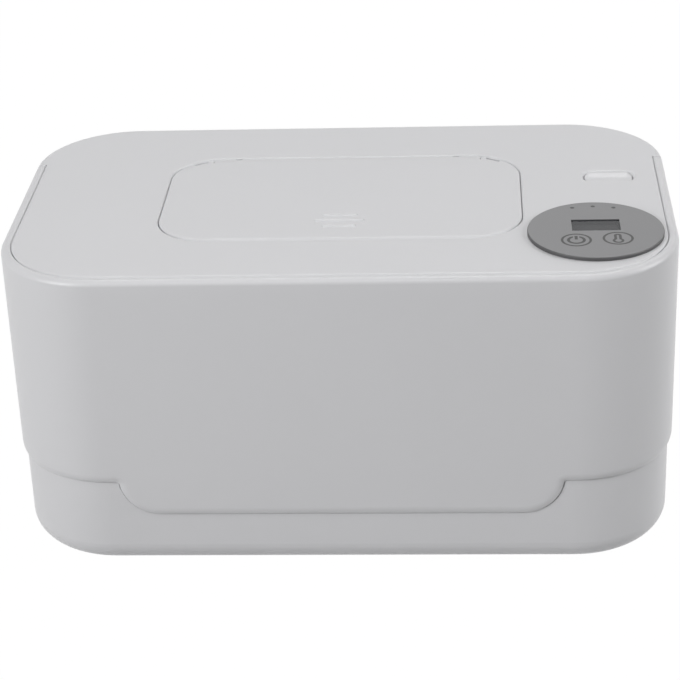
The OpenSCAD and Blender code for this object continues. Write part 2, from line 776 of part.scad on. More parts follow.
module lid_liner() color(OFF_WHITE) difference() {
    union() {
        translate([0, 0, lid_z]) lid_inside(seat_gap, liner_t);
        for (a = [30, 150, 270]) translate([panel_mid.x, panel_mid.y, liner_top - eps]) rotate(a)
            translate([board_r - 3, 0, 0]) cylinder(r = 2, h = board_z - liner_top + eps);
        for (y = [-1, 1]) translate([leg_right - 10, button_y + y * (bolt_w / 2 + run_gap + 0.5) - 0.5,
            liner_top - eps]) cube([bolt_reach - leg_right + 10, 1, bolt_t + run_gap]);
    }
    translate([0, pocket_y, lid_z - over]) slab(pocket_w + 2 * pocket_wall + 2 * seat_gap,
        pocket_d + 2 * pocket_wall + 2 * seat_gap, pocket_r + pocket_wall + seat_gap, liner_t + 2 * over);
    for (h = [-1, 1]) translate([h * hinge_x - pin_l / 2 - 1, axis_y - eye_r - 0.6, lid_z - over])
        cube([pin_l + 2, 20, liner_t + 2 * over]);
    for (p = lid_screw_mid) translate([p.x, p.y, lid_z - eps]) {
        cylinder(r1 = lid_head_r + 0.1, r2 = lid_screw_r + 0.2, h = 1.4);
        cylinder(r = lid_screw_r + 0.2, h = liner_t + over);
    }
    swing_trim();
    // Slots for the button's leg and for the striker.
    translate([leg_right - leg_t - 1, button_y - leg_w / 2 - run_gap, lid_z - over])
        cube([leg_t + 2.5, leg_w + 2 * run_gap, liner_t + 2 * over]);
    translate([striker_x - striker_hook - run_gap, button_y - striker_w / 2 - 1, lid_z - over])
        cube([20, striker_w + 2, liner_t + 2 * over]);
}

module lid_gasket() color(RUBBER) difference() {
    translate([0, 0, lid_z - gasket_h]) slab(tub_w + 7, tub_d + 7, tub_r + 3.5, gasket_h);
    translate([0, 0, lid_z - gasket_h - over]) slab(tub_w + 1, tub_d + 1, tub_r + 0.5, gasket_h + 2 * over);
}

module dispenser_insert() color(RUBBER) translate([0, port_y, 0]) difference() {
    union() {
        translate([0, 0, pocket_z]) linear_extrude(insert_t)
            oval(port_w + 2 * insert_brim, port_d + 2 * insert_brim);
        translate([0, 0, lid_z - 0.5]) linear_extrude(pocket_z - lid_z + 0.5 + eps)
            oval(port_w - 2 * seat_gap, port_d - 2 * seat_gap);
    }
    translate([0, 0, lid_z - over]) linear_extrude(pocket_z - lid_z)
        oval(port_w - 2 * seat_gap - 4, port_d - 2 * seat_gap - 4);
    translate([0, 0, lid_z - over]) linear_extrude(lid_t) oval(2 * slot_half, slot_w);
}

// Snap catch under the flip lid's front edge: two sprung jaws on a plate.
module flip_catch() color(GREY) translate([0, catch_y, pocket_z]) {
    translate([-catch_w / 2, -3, 0]) cube([catch_w, 6, 1]);
    for (s = [-1, 1]) {
        translate([s * (catch_w / 2 - 0.5) - 0.5, -3, 0]) cube([1, 6, 3.4]);
        translate([s * (hook_t / 2 + run_gap + 0.5) - 0.5, -2.5, 1 - eps]) cube([1, 5, 2.4]);
    }
}

module flip_hinge_pins() color(STEEL)
    for (h = [-1, 1]) translate([h * flip_hinge_x, flip_axis_y, flip_axis_z]) rod(flip_pin_r, flip_pin_l);

module control_cover() color(GREY) difference() {
    translate([panel_mid.x, panel_mid.y, top_z]) {
        rotate_extrude() difference() {
            square([panel_r, panel_proud]);
            translate([panel_r - panel_edge_r, panel_proud - panel_edge_r]) difference() {
                square(panel_edge_r + over);
                circle(panel_edge_r);
            }
        }
        translate([0, 0, -spigot_l]) difference() {
            cylinder(r = spigot_r, h = spigot_l + eps);
            translate([0, 0, -over])
                cylinder(r = spigot_r - spigot_t, h = spigot_l + over - cover_t + panel_proud);
        }
    }
    translate([window_mid.x - window_w / 2, window_mid.y - window_d / 2, panel_top - window_down - window_t])
        cube([window_w, window_d, lid_t]);
    translate([window_mid.x - window_w / 2 + window_ledge, window_mid.y - window_d / 2 + window_ledge,
        board_top])
        cube([window_w - 2 * window_ledge, window_d - 2 * window_ledge, lid_t]);
    for (p = led_mid) translate([p.x, p.y, board_top]) cylinder(r = led_r + 0.05, h = lid_t);
}

module display_window() color([0.3, 0.32, 0.35, 0.5])
    translate([window_mid.x - window_w / 2 + 0.05, window_mid.y - window_d / 2 + 0.05,
        panel_top - window_down - window_t]) cube([window_w - 0.1, window_d - 0.1, window_t]);

module display_module() color(DARK)
    translate([window_mid.x - display_size.x / 2, window_mid.y - display_size.y / 2, board_top])
        cube([display_size.x, display_size.y, cover_low - board_top]);

module control_board() color(BOARD) translate([panel_mid.x, panel_mid.y, board_z]) {
    cylinder(r = board_r, h = board_t);
    for (p = led_mid) translate([p.x - panel_mid.x - 1.6, p.y - panel_mid.y - 2.5, 0])
        cube([3.2, 4, board_t]);
}

module touch_springs() color(STEEL) for (p = key_mid)
    translate([p.x, p.y, board_top]) coil(touch_r, 0.3, cover_low - board_top, 3);

module light_guides() color([0.9, 0.9, 0.92]) for (p = led_mid)
    translate([p.x, p.y, board_top]) cylinder(r = led_r, h = panel_top - board_top - 0.05);

module lid_screws() color(STEEL) for (p = lid_screw_mid) translate([p.x, p.y, lid_z]) difference() {
    union() {
        cylinder(r1 = lid_head_r, r2 = lid_screw_r, h = 1.3);
        cylinder(r = lid_screw_r, h = 6.4);
    }
    for (a = [0, 90]) rotate(a) translate([-1.5, -0.3, -over]) cube([3, 0.6, 0.7 + over]);
}

module release_spring() color(STEEL) translate([button_x, button_y, liner_top])
    coil(3, 0.25, flange_low - liner_top, 4);

module flip_lid() color(WHITE) difference() {
    union() {
        translate([0, 0, top_z - flip_t]) soft_block(flip_w, flip_d, flip_r, flip_t, top = flip_edge_r);
        for (i = [0 : 2]) translate([0, grip_y + (1 - i) * grip_pitch, top_z + grip_proud - grip_r]) {
            bar = grip_l[i] - 2 * grip_proud;
            rod(grip_r, bar);
            for (s = [-1, 1]) translate([s * bar / 2, 0, 0]) sphere(grip_r);
        }
        for (h = [-1, 1]) translate([h * flip_hinge_x, flip_axis_y, flip_axis_z])
            rod(flip_barrel_r, flip_barrel_l);
        translate([-hook_t / 2, catch_y - 1.5, pocket_z + 1.6])
            cube([hook_t, 3, top_z - flip_t - pocket_z - 1.6 + eps]);
    }
    for (h = [-1, 1]) {
        translate([h * flip_hinge_x, flip_axis_y, flip_axis_z])
            rod(flip_pin_r + shaft_gap, flip_barrel_l + over);
        for (e = flip_ear_x) translate([h * flip_hinge_x + e - flip_ear_t / 2 - run_gap,
            flip_axis_y - flip_eye_r - run_gap, flip_axis_z - 2 * flip_t])
                cube([flip_ear_t + 2 * run_gap, flip_eye_r + flip_axis_in + over, 4 * flip_t]);
    }
}

module flip_seal() color(RUBBER) translate([0, port_y, insert_z + run_gap]) {
    h = top_z - flip_t - insert_z - run_gap;
    linear_extrude(h) difference() {
        oval(port_w + 3, port_d + 3);
        oval(port_w + 3 - 2 * seal_t, port_d + 3 - 2 * seal_t);
    }
}

// Side view of the button's slanted leg, which drives the bolt; grown for the bolt's window.
module leg_outline(low, high, grow = 0) {
    left = leg_right - leg_t;
    slope = bolt_z + bolt_t;
    polygon([[left - grow + slope - low, low], [leg_right + grow + slope - low, low],
        [leg_right + grow + slope - high, high], [left - grow + slope - high, high]]);
}

module release_button() color(WHITE) {
    difference() {
        union() {
            translate([button_x, button_y, flange_low])
                slab(button_l, button_d, button_r, button_top - flange_low);
            translate([button_x, button_y, flange_low]) slab(button_l + 2 * button_flange,
                button_d + 2 * button_flange, button_r + button_flange, flange_top - flange_low);
        }
        translate([button_x, button_y + button_d / 2, button_top + dish_r - dish_deep])
            rod(dish_r, button_l + over);
    }
    translate([0, button_y + leg_w / 2, 0]) rotate([90, 0, 0])
        linear_extrude(leg_w) leg_outline(leg_end, flange_low + eps);
}

module latch_bolt() color(GREY) difference() {
    translate([0, button_y + bolt_w / 2, bolt_z]) rotate([90, 0, 0]) linear_extrude(bolt_w)
        polygon([[leg_right - leg_t - 3, 0], [bolt_reach - 1, 0], [bolt_reach, 1], [bolt_reach, bolt_t],
            [leg_right - leg_t - 3, bolt_t]]);
    translate([0, button_y + leg_w / 2 + run_gap, 0]) rotate([90, 0, 0])
        linear_extrude(leg_w + 2 * run_gap) leg_outline(bolt_z - over, bolt_z + bolt_t + over, run_gap);
}

outer_shell();
base_shell();
wipe_tub();
heat_plate();
heating_film();
insulation_pad();
insulation_band();
thermal_fuse();
temperature_sensor();
power_board();
dc_jack();
heater_leads();
rubber_feet();
base_screws();
lid_hinge_pins();
latch_striker();
lid_panel();
lid_liner();
lid_gasket();
dispenser_insert();
flip_catch();
flip_hinge_pins();
control_cover();
display_window();
display_module();
control_board();
touch_springs();
light_guides();
lid_screws();
release_spring();
flip_lid();
flip_seal();
release_button();
latch_bolt();
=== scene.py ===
"""Looks of the baby wipe warmer: finishes, the keys' print with painted shade on the control panel's side,
lights and camera around its CAD model.
"""

import json
import logging
import math
from dataclasses import dataclass
from enum import Enum
from typing import Sequence

import bmesh
import bpy
from mathutils import Matrix, Vector


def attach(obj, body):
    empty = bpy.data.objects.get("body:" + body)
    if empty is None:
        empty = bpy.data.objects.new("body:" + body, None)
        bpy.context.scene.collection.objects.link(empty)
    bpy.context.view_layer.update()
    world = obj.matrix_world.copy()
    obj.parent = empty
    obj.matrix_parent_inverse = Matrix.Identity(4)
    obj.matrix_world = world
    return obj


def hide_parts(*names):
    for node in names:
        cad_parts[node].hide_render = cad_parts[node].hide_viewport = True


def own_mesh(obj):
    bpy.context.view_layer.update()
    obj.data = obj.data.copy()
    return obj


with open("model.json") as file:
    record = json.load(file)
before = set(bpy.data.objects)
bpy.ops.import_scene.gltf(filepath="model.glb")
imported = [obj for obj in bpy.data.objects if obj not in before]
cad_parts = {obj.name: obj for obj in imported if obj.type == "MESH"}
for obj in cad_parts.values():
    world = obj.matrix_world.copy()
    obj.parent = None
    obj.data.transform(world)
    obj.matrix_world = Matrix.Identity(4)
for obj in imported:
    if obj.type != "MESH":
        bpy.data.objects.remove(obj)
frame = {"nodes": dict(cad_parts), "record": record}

log = logging.getLogger("wipe_warmer")
MM = 0.001
MERGE = 1e-7  # metres
SHARP = 35.0  # degrees
WHITE = (1.0, 1.0, 1.0, 1.0)

Point = tuple[float, float, float]
Color = tuple[float, float, float]
Ring = list[Point]


class Body(str, Enum):
    """Bodies of the CAD model that pieces ride on."""

    ROOT = "root"
    LID = "main_lid"
    FLIP = "flip"
    BUTTON = "button"


class Slot(str, Enum):
    """Material slots of the record."""

    SHELL = "white_shell"
    TUB = "tub_plastic"
    SPREADER = "spreader"
    FILM = "heater_film"
    FOAM = "foam"
    STEEL = "steel"
    DARK = "dark_plastic"
    BOARD = "board"
    LEAD = "lead_sleeve"
    SOFT = "soft_grey"
    GREY = "grey_plastic"
    PANEL = "panel_grey"
    LENS = "display_lens"
    GUIDE = "clear_guide"


@dataclass(frozen=True)
class Finish:
    """How a surface looks.

    Attributes:
        color: Base colour, linear.
        roughness: Mean roughness.
        grain: Size of the surface's fine grain, in metres.
        bump: Height of that grain, in metres.
        mottle: Share by which the colour drifts over the surface.
        drift: Size of that drift, in metres.
        metallic: 1 for bare metal.
        coat: Weight of a clear coat.
        alpha: Opacity.
        brushed: Whether the grain runs along X, as on drawn or brushed metal.
    """

    color: Color
    roughness: float
    grain: float = 0.0006
    bump: float = 0.00001
    mottle: float = 0.02
    drift: float = 0.03
    metallic: float = 0.0
    coat: float = 0.0
    alpha: float = 1.0
    brushed: bool = False


FINISHES: dict[Slot, Finish] = {
    Slot.SHELL: Finish((0.62, 0.62, 0.635), 0.34, grain=0.0005, bump=0.000006, mottle=0.012, drift=0.05),
    Slot.TUB: Finish((0.66, 0.66, 0.67), 0.38, grain=0.0008, bump=0.000004, mottle=0.015),
    Slot.SPREADER: Finish((0.75, 0.76, 0.77), 0.34, grain=0.0004, bump=0.000006, metallic=1.0, brushed=True),
    Slot.FILM: Finish((0.60, 0.30, 0.06), 0.30, grain=0.002, bump=0.00001, mottle=0.10, drift=0.01, coat=0.3),
    Slot.FOAM: Finish((0.80, 0.79, 0.74), 0.95, grain=0.0012, bump=0.00012, mottle=0.06, drift=0.01),
    Slot.STEEL: Finish((0.60, 0.61, 0.63), 0.32, grain=0.0003, bump=0.000004, metallic=1.0, brushed=True),
    Slot.DARK: Finish((0.035, 0.035, 0.04), 0.45, grain=0.0004, bump=0.000008, mottle=0.08),
    Slot.BOARD: Finish((0.02, 0.13, 0.06), 0.35, grain=0.0015, mottle=0.15, drift=0.006, coat=0.4),
    Slot.LEAD: Finish((0.42, 0.04, 0.03), 0.55, grain=0.0006, bump=0.00001, mottle=0.05),
    Slot.SOFT: Finish((0.55, 0.55, 0.57), 0.72, grain=0.0005, bump=0.00002, mottle=0.03),
    Slot.GREY: Finish((0.40, 0.41, 0.43), 0.45, grain=0.0005, bump=0.000008, mottle=0.03),
    Slot.PANEL: Finish((0.185, 0.185, 0.19), 0.45, grain=0.0004, bump=0.000005, mottle=0.03, drift=0.02),
    Slot.LENS: Finish((0.03, 0.033, 0.038), 0.12, grain=0.002, bump=0.000001, coat=0.2, alpha=0.6),
    Slot.GUIDE: Finish((0.03, 0.03, 0.033), 0.5, grain=0.001, bump=0.000002),
}


@dataclass(frozen=True)
class Model:
    """Sizes of the CAD model that more than one piece of the looks follows, in millimetres.

    Attributes:
        width: Width of the shell.
        depth: Depth of the shell.
        corner: Radius of its upright corners in plan.
        rim: Width of the rim round the lid.
        lid_gap: Gap between the rim and the lid.
        top: Height of the rim, the lid's face and the flip lid's face.
        button: Middle of the release button in plan.
        press: Travel of the release button.
        flange_low: Height of the underside of the button's flange.
    """

    width: float = 240.0
    depth: float = 143.0
    corner: float = 36.4
    rim: float = 3.4
    lid_gap: float = 0.3
    top: float = 116.0
    button: tuple[float, float] = (98.5, 16.6)
    press: float = 2.0
    flange_low: float = 112.3


MODEL = Model()


class Sock:
    """A shader socket that takes part in arithmetic."""

    def __init__(self, graph: "Graph", socket: bpy.types.NodeSocket) -> None:
        """Keeps a socket and the tree that it belongs to.

        Args:
            graph: The tree.
            socket: The socket.
        """
        self.graph = graph
        self.socket = socket

    def _op(self, kind: str, *others: "Sock | float") -> "Sock":
        """Returns the result of a Math node on this and the other values."""
        return self.graph.node("ShaderNodeMath", [self, *others], operation=kind)

    def __add__(self, other: "Sock | float") -> "Sock":
        """Returns the sum."""
        return self._op("ADD", other)

    def __sub__(self, other: "Sock | float") -> "Sock":
        """Returns the difference."""
        return self._op("SUBTRACT", other)

    def __rsub__(self, other: float) -> "Sock":
        """Returns a number less this value."""
        return self.graph.node("ShaderNodeMath", [other, self], operation="SUBTRACT")

    def __mul__(self, other: "Sock | float") -> "Sock":
        """Returns the product."""
        return self._op("MULTIPLY", other)

    def __truediv__(self, other: "Sock | float") -> "Sock":
        """Returns the quotient."""
        return self._op("DIVIDE", other)

    def __abs__(self) -> "Sock":
        """Returns the value without its sign."""
        return self._op("ABSOLUTE")

    def __lt__(self, other: "Sock | float") -> "Sock":
        """Returns 1 where this is below the other value, otherwise 0."""
        return self._op("LESS_THAN", other)

    def __gt__(self, other: "Sock | float") -> "Sock":
        """Returns 1 where this is above the other value, otherwise 0."""
        return self._op("GREATER_THAN", other)

    __radd__ = __add__
    __rmul__ = __mul__

    def sibling(self, name: "str | int") -> "Sock":
        """Returns another output of the node that this value comes from."""
        return Sock(self.graph, self.socket.node.outputs[name])

    def maximum(self, other: "Sock | float") -> "Sock":
        """Returns the larger of this and the other value."""
        return self._op("MAXIMUM", other)

    def minimum(self, other: "Sock | float") -> "Sock":
        """Returns the smaller of this and the other value."""
        return self._op("MINIMUM", other)

    def reach(self, other: "Sock") -> "Sock":
        """Returns the length of the vector that has this and the other as its parts."""
        return (self * self + other * other)._op("SQRT")

    def spread(self, low: float, high: float) -> "Sock":
        """Maps 0..1 onto low..high.

        Args:
            low: Value at 0.
            high: Value at 1.

        Returns:
            The mapped socket.
        """
        return self * (high - low) + low


class Graph:
    """A material's node tree, built call by call."""

    def __init__(self, owner: "bpy.types.Material | bpy.types.World") -> None:
        """Starts an empty tree.

        Args:
            owner: The material or world that the tree belongs to.
        """
        self.owner = owner
        owner.use_nodes = True
        self.tree = owner.node_tree
        self.tree.nodes.clear()

    @classmethod
    def of_material(cls, name: str) -> "Graph":
        """Starts the tree of a new material."""
        return cls(bpy.data.materials.new(name))

    def node(self, kind: str, inputs: "Sequence | dict | None" = None, out: "int | str" = 0,
             **settings: object) -> Sock:
        """Adds a node, links or sets its inputs, and returns one output.

        Args:
            kind: Blender's node type.
            inputs: Values or sockets by position, or by input name.
            out: The output wanted.
            **settings: Properties of the node.

        Returns:
            The wanted output, ready for arithmetic.
        """
        made = self.tree.nodes.new(kind)
        for key, value in settings.items():
            setattr(made, key, value)
        pairs = inputs.items() if isinstance(inputs, dict) else enumerate(inputs or [])
        for key, value in pairs:
            if isinstance(value, Sock):
                self.tree.links.new(value.socket, made.inputs[key])
            else:
                made.inputs[key].default_value = value
        return Sock(self, made.outputs[out]) if made.outputs else Sock(self, None)

    def surface(self, shader: Sock) -> bpy.types.Material:
        """Ends the tree with its surface and returns the material."""
        self.node("ShaderNodeOutputMaterial", {"Surface": shader})
        return self.owner


@dataclass(frozen=True)
class PanelPrintAndShade:
    """The two touch keys' print on the control panel, and painted shade darkening the panel's side below its
    face.

    Lengths are in millimetres, in the row frame. Heights in a key run from its middle.

    Attributes:
        power: Middle of the power key.
        heat: Middle of the temperature key.
        face: Height of the panel's face.
        face_edge: Depth below the face at which the panel's side begins.
        ring: Radius of the ring round each key.
        line: Width of a ring's line.
        stroke: Width of a symbol's strokes.
        arc: Radius of the power symbol's arc, and half the width of the arc's opening.
        bar: Middle height of the power symbol's bar, and half its length.
        stem: Lower end, upper end and radius of the thermometer's stem.
        bulb: Depth and radius of the thermometer's bulb.
        outline: Half the width of the thermometer's outline, as a share of a stroke.
        side: Painted shade: how far the panel's side is darkened towards the print's colour.
        darkness: Brightness of the print, and of the colour that the painted shade darkens towards, as a
            share of the panel's colour.
    """

    power: tuple[float, float] = (83.8, -44.2)
    heat: tuple[float, float] = (98.3, -43.1)
    face: float = 117.45
    face_edge: float = 0.12
    ring: float = 4.95
    line: float = 0.85
    stroke: float = 1.05
    arc: tuple[float, float] = (2.75, 1.1)
    bar: tuple[float, float] = (1.9, 1.5)
    stem: tuple[float, float, float] = (-1.2, 2.4, 0.85)
    bulb: tuple[float, float] = (1.9, 1.55)
    outline: float = 0.45
    side: float = 0.6
    darkness: float = 0.03

    def _from(self, graph: Graph, place: Sock, mid: tuple[float, float]) -> tuple[Sock, Sock]:
        """Returns the distances from a key's middle, in millimetres."""
        across = graph.node("ShaderNodeSeparateXYZ", [place])
        return across / MM - mid[0], across.sibling(1) / MM - mid[1]

    def _power_key(self, graph: Graph, place: Sock) -> Sock:
        """Returns 1 on the power key: its ring, the open arc and the bar.

        Args:
            graph: The material's tree.
            place: Object coordinates.

        Returns:
            The key's mask.
        """
        x, y = self._from(graph, place, self.power)
        from_mid = x.reach(y)
        ring = abs(from_mid - self.ring) < self.line / 2
        arc_r, opening = self.arc
        arc = (abs(from_mid - arc_r) < self.stroke / 2) * (abs(x) > opening).maximum(y < 0.0)
        bar_mid, bar_half = self.bar
        bar = (abs(x) < self.stroke / 2) * (abs(y - bar_mid) < bar_half)
        return ring.maximum(arc).maximum(bar)

    def _heat_key(self, graph: Graph, place: Sock) -> Sock:
        """Returns 1 on the temperature key: its ring and the thermometer's outline.

        Args:
            graph: The material's tree.
            place: Object coordinates.

        Returns:
            The key's mask.
        """
        x, y = self._from(graph, place, self.heat)
        ring = abs(x.reach(y) - self.ring) < self.line / 2
        low, high, stem_r = self.stem
        stem = x.reach(y - y.maximum(low).minimum(high)) - stem_r
        depth, bulb_r = self.bulb
        bulb = x.reach(y + depth) - bulb_r
        return ring.maximum(abs(stem.minimum(bulb)) < self.stroke * self.outline)

    def mask(self, graph: Graph, place: Sock) -> Sock:
        """Returns 1 on the print, part of it as painted shade on the panel's side, and 0 on its grey face.

        Args:
            graph: The material's tree.
            place: Object coordinates.

        Returns:
            The mask.
        """
        height = graph.node("ShaderNodeSeparateXYZ", [place], out=2)
        # Painted shade: the panel's side below its face is darkened, for the shade that it stands in.
        side = (height < (self.face - self.face_edge) * MM) * self.side
        return self._power_key(graph, place).maximum(self._heat_key(graph, place)).maximum(side)


class Paint:
    """Makes each finish's material once."""

    ROUGHNESS_DRIFT = 0.05
    BRUSHED = (0.05, 1.0, 1.0)
    EVEN = (1.0, 1.0, 1.0)

    def __init__(self) -> None:
        """Starts with no material made."""
        self._made: dict[Slot, bpy.types.Material] = {}

    def get(self, slot: Slot) -> bpy.types.Material:
        """Returns the material of a slot, with its colour drift, grain and roughness.

        Args:
            slot: The record's material slot.

        Returns:
            The material.
        """
        if slot not in self._made:
            print_and_shade = PanelPrintAndShade() if slot is Slot.PANEL else None
            self._made[slot] = self._material(slot.value, FINISHES[slot], print_and_shade)
        return self._made[slot]

    def _material(self, name: str, finish: Finish, print_and_shade: "PanelPrintAndShade | None") -> bpy.types.Material:
        """Makes a material from a finish.

        Args:
            name: Name of the material.
            finish: How it looks.
            print_and_shade: The keys' print and the painted shade on the panel's side, where it has them.

        Returns:
            The material.
        """
        graph = Graph.of_material(name)
        place = graph.node("ShaderNodeTexCoord", out="Object")
        stretch = self.BRUSHED if finish.brushed else self.EVEN
        along = graph.node("ShaderNodeMapping", {"Vector": place, "Scale": stretch})
        fine = graph.node("ShaderNodeTexNoise", {"Vector": along, "Scale": 1 / finish.grain, "Detail": 2.0})
        broad = graph.node("ShaderNodeTexNoise", {"Vector": place, "Scale": 1 / finish.drift, "Detail": 3.0})
        shade = broad.spread(1 - finish.mottle, 1 + finish.mottle)
        if print_and_shade:
            # The keys' print and the painted shade on the panel's side both darken the colour.
            ink_and_shade = print_and_shade.mask(graph, place)
            shade = shade * (1 - ink_and_shade) + ink_and_shade * print_and_shade.darkness
        drift = self.ROUGHNESS_DRIFT
        rough = (fine * 0.5 + broad * 0.5).spread(finish.roughness - drift, finish.roughness + drift)
        bump = graph.node("ShaderNodeBump", {"Height": fine, "Strength": 1.0, "Distance": finish.bump})
        shader = graph.node(
            "ShaderNodeBsdfPrincipled",
            {
                "Base Color": graph.node("ShaderNodeCombineColor", [shade * part for part in finish.color]),
                "Roughness": rough,
                "Metallic": finish.metallic,
                "Coat Weight": finish.coat,
                "Alpha": finish.alpha,
                "Normal": bump,
            },
        )
        return graph.surface(shader)


PAINT = Paint()


def soften(mesh: bmesh.types.BMesh, limit: float) -> None:
    """Shades a mesh smooth and keeps the edges sharp that turn by more than a limit.

    Args:
        mesh: The shape.
        limit: The largest angle that is shaded as a round, in degrees.
    """
    bmesh.ops.recalc_face_normals(mesh, faces=mesh.faces)
    for face in mesh.faces:
        face.smooth = True
    for edge in mesh.edges:
        edge.smooth = len(edge.link_faces) == 2 and edge.calc_face_angle(0.0) < math.radians(limit)


def piece(name: str, mesh: bmesh.types.BMesh, body: Body, slot: Slot,
          replaces: Sequence[str] = ()) -> bpy.types.Object:
    """Turns a bmesh into a named and painted piece of the object.

    Args:
        name: Name of the piece.
        mesh: Its shape, in metres in the row frame.
        body: The body it rides on.
        slot: The material slot it takes its finish from.
        replaces: CAD nodes that it stands for.

    Returns:
        The new object.
    """
    data = bpy.data.meshes.new(name)
    mesh.to_mesh(data)
    mesh.free()
    data.materials.append(PAINT.get(slot))
    made = bpy.data.objects.new(name, data)
    bpy.context.scene.collection.objects.link(made)
    if replaces:
        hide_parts(*replaces)
    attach(made, body.value)
    log.info("%s: %d faces on %s", name, len(data.polygons), body.value)
    return made


def skin(mesh: bmesh.types.BMesh, rings: Sequence[Ring], capped: bool = True) -> None:
    """Extrudes a closed ring of points through other rings, one after the other.

    Args:
        mesh: What the skin is added to.
        rings: Rings with the same number of points, in millimetres.
        capped: Whether each end gets a cap.
    """
    verts = [mesh.verts.new(Vector(point) * MM) for point in rings[0]]
    first = [mesh.edges.new(pair) for pair in zip(verts, verts[1:] + verts[:1])]
    loop = first
    for ring in rings[1:]:
        # The new points come in the order of the old ones.
        made = bmesh.ops.extrude_edge_only(mesh, edges=loop)["geom"]
        loop = [part for part in made if isinstance(part, bmesh.types.BMEdge)]
        verts = [part for part in made if isinstance(part, bmesh.types.BMVert)]
        for vert, point in zip(verts, ring):
            vert.co = Vector(point) * MM
    if capped:
        for end in (first, loop):
            bmesh.ops.contextual_create(mesh, geom=end)


def mirror(mesh: bmesh.types.BMesh) -> None:
    """Adds the left half of a mesh that holds the right half, and joins the two in the middle."""
    geom = [*mesh.verts, *mesh.edges, *mesh.faces]
    bmesh.ops.mirror(mesh, geom=geom, axis="X", merge_dist=MERGE)


def spaced(start: float, end: float, steps: int) -> list[float]:
    """Returns evenly spaced values from start to end, both included."""
    return [start + (end - start) * i / steps for i in range(steps + 1)]


def quarter(radius: float, steps: int) -> list[tuple[float, float]]:
    """Returns a quarter round, from its upright end to its level end.

    Args:
        radius: Its radius.
        steps: Number of its steps.

    Returns:
        For each point, the way in and the way down from the corner that it rounds.
    """
    angles = spaced(0.0, math.pi / 2, steps)
    return [(radius * (1 - math.cos(a)), radius * (1 - math.sin(a))) for a in angles]


def rounded(mid: tuple[float, float], width: float, depth: float, radius: float, z: float,
            steps: int = 10) -> Ring:
    """Returns a level rounded rectangle as a ring of points.

    Args:
        mid: Its middle in plan.
        width: Size along X.
        depth: Size along Y.
        radius: Radius of its corners.
        z: Its height.
        steps: Steps per corner.

    Returns:
        The ring, in millimetres.
    """
    ring = []
    for turn, (side, end) in enumerate(((1, 1), (-1, 1), (-1, -1), (1, -1))):
        for a in spaced(math.pi / 2 * turn, math.pi / 2 * (turn + 1), steps):
            ring.append((mid[0] + side * (width / 2 - radius) + radius * math.cos(a),
                         mid[1] + end * (depth / 2 - radius) + radius * math.sin(a), z))
    return ring


class Row(Enum):
    """How a row of the outer shell's section finds its place."""

    CURL = "on the lip, measured up from the lower edge"
    WALL = "at its own height"
    SHELF = "at its own height, and further in by the shelf"


@dataclass(frozen=True)
class Stop:
    """A place along the outer shell's lower edge.

    Attributes:
        along: Way along the outline, from the front's middle.
        height: Height of the lower edge.
        into: Way from the edge into the face, along the outline and up.
        behind: Whether it lies behind the rim's end, where the lid takes the full outline.
    """

    along: float
    height: float
    into: tuple[float, float] = (0.0, 1.0)
    behind: bool = False


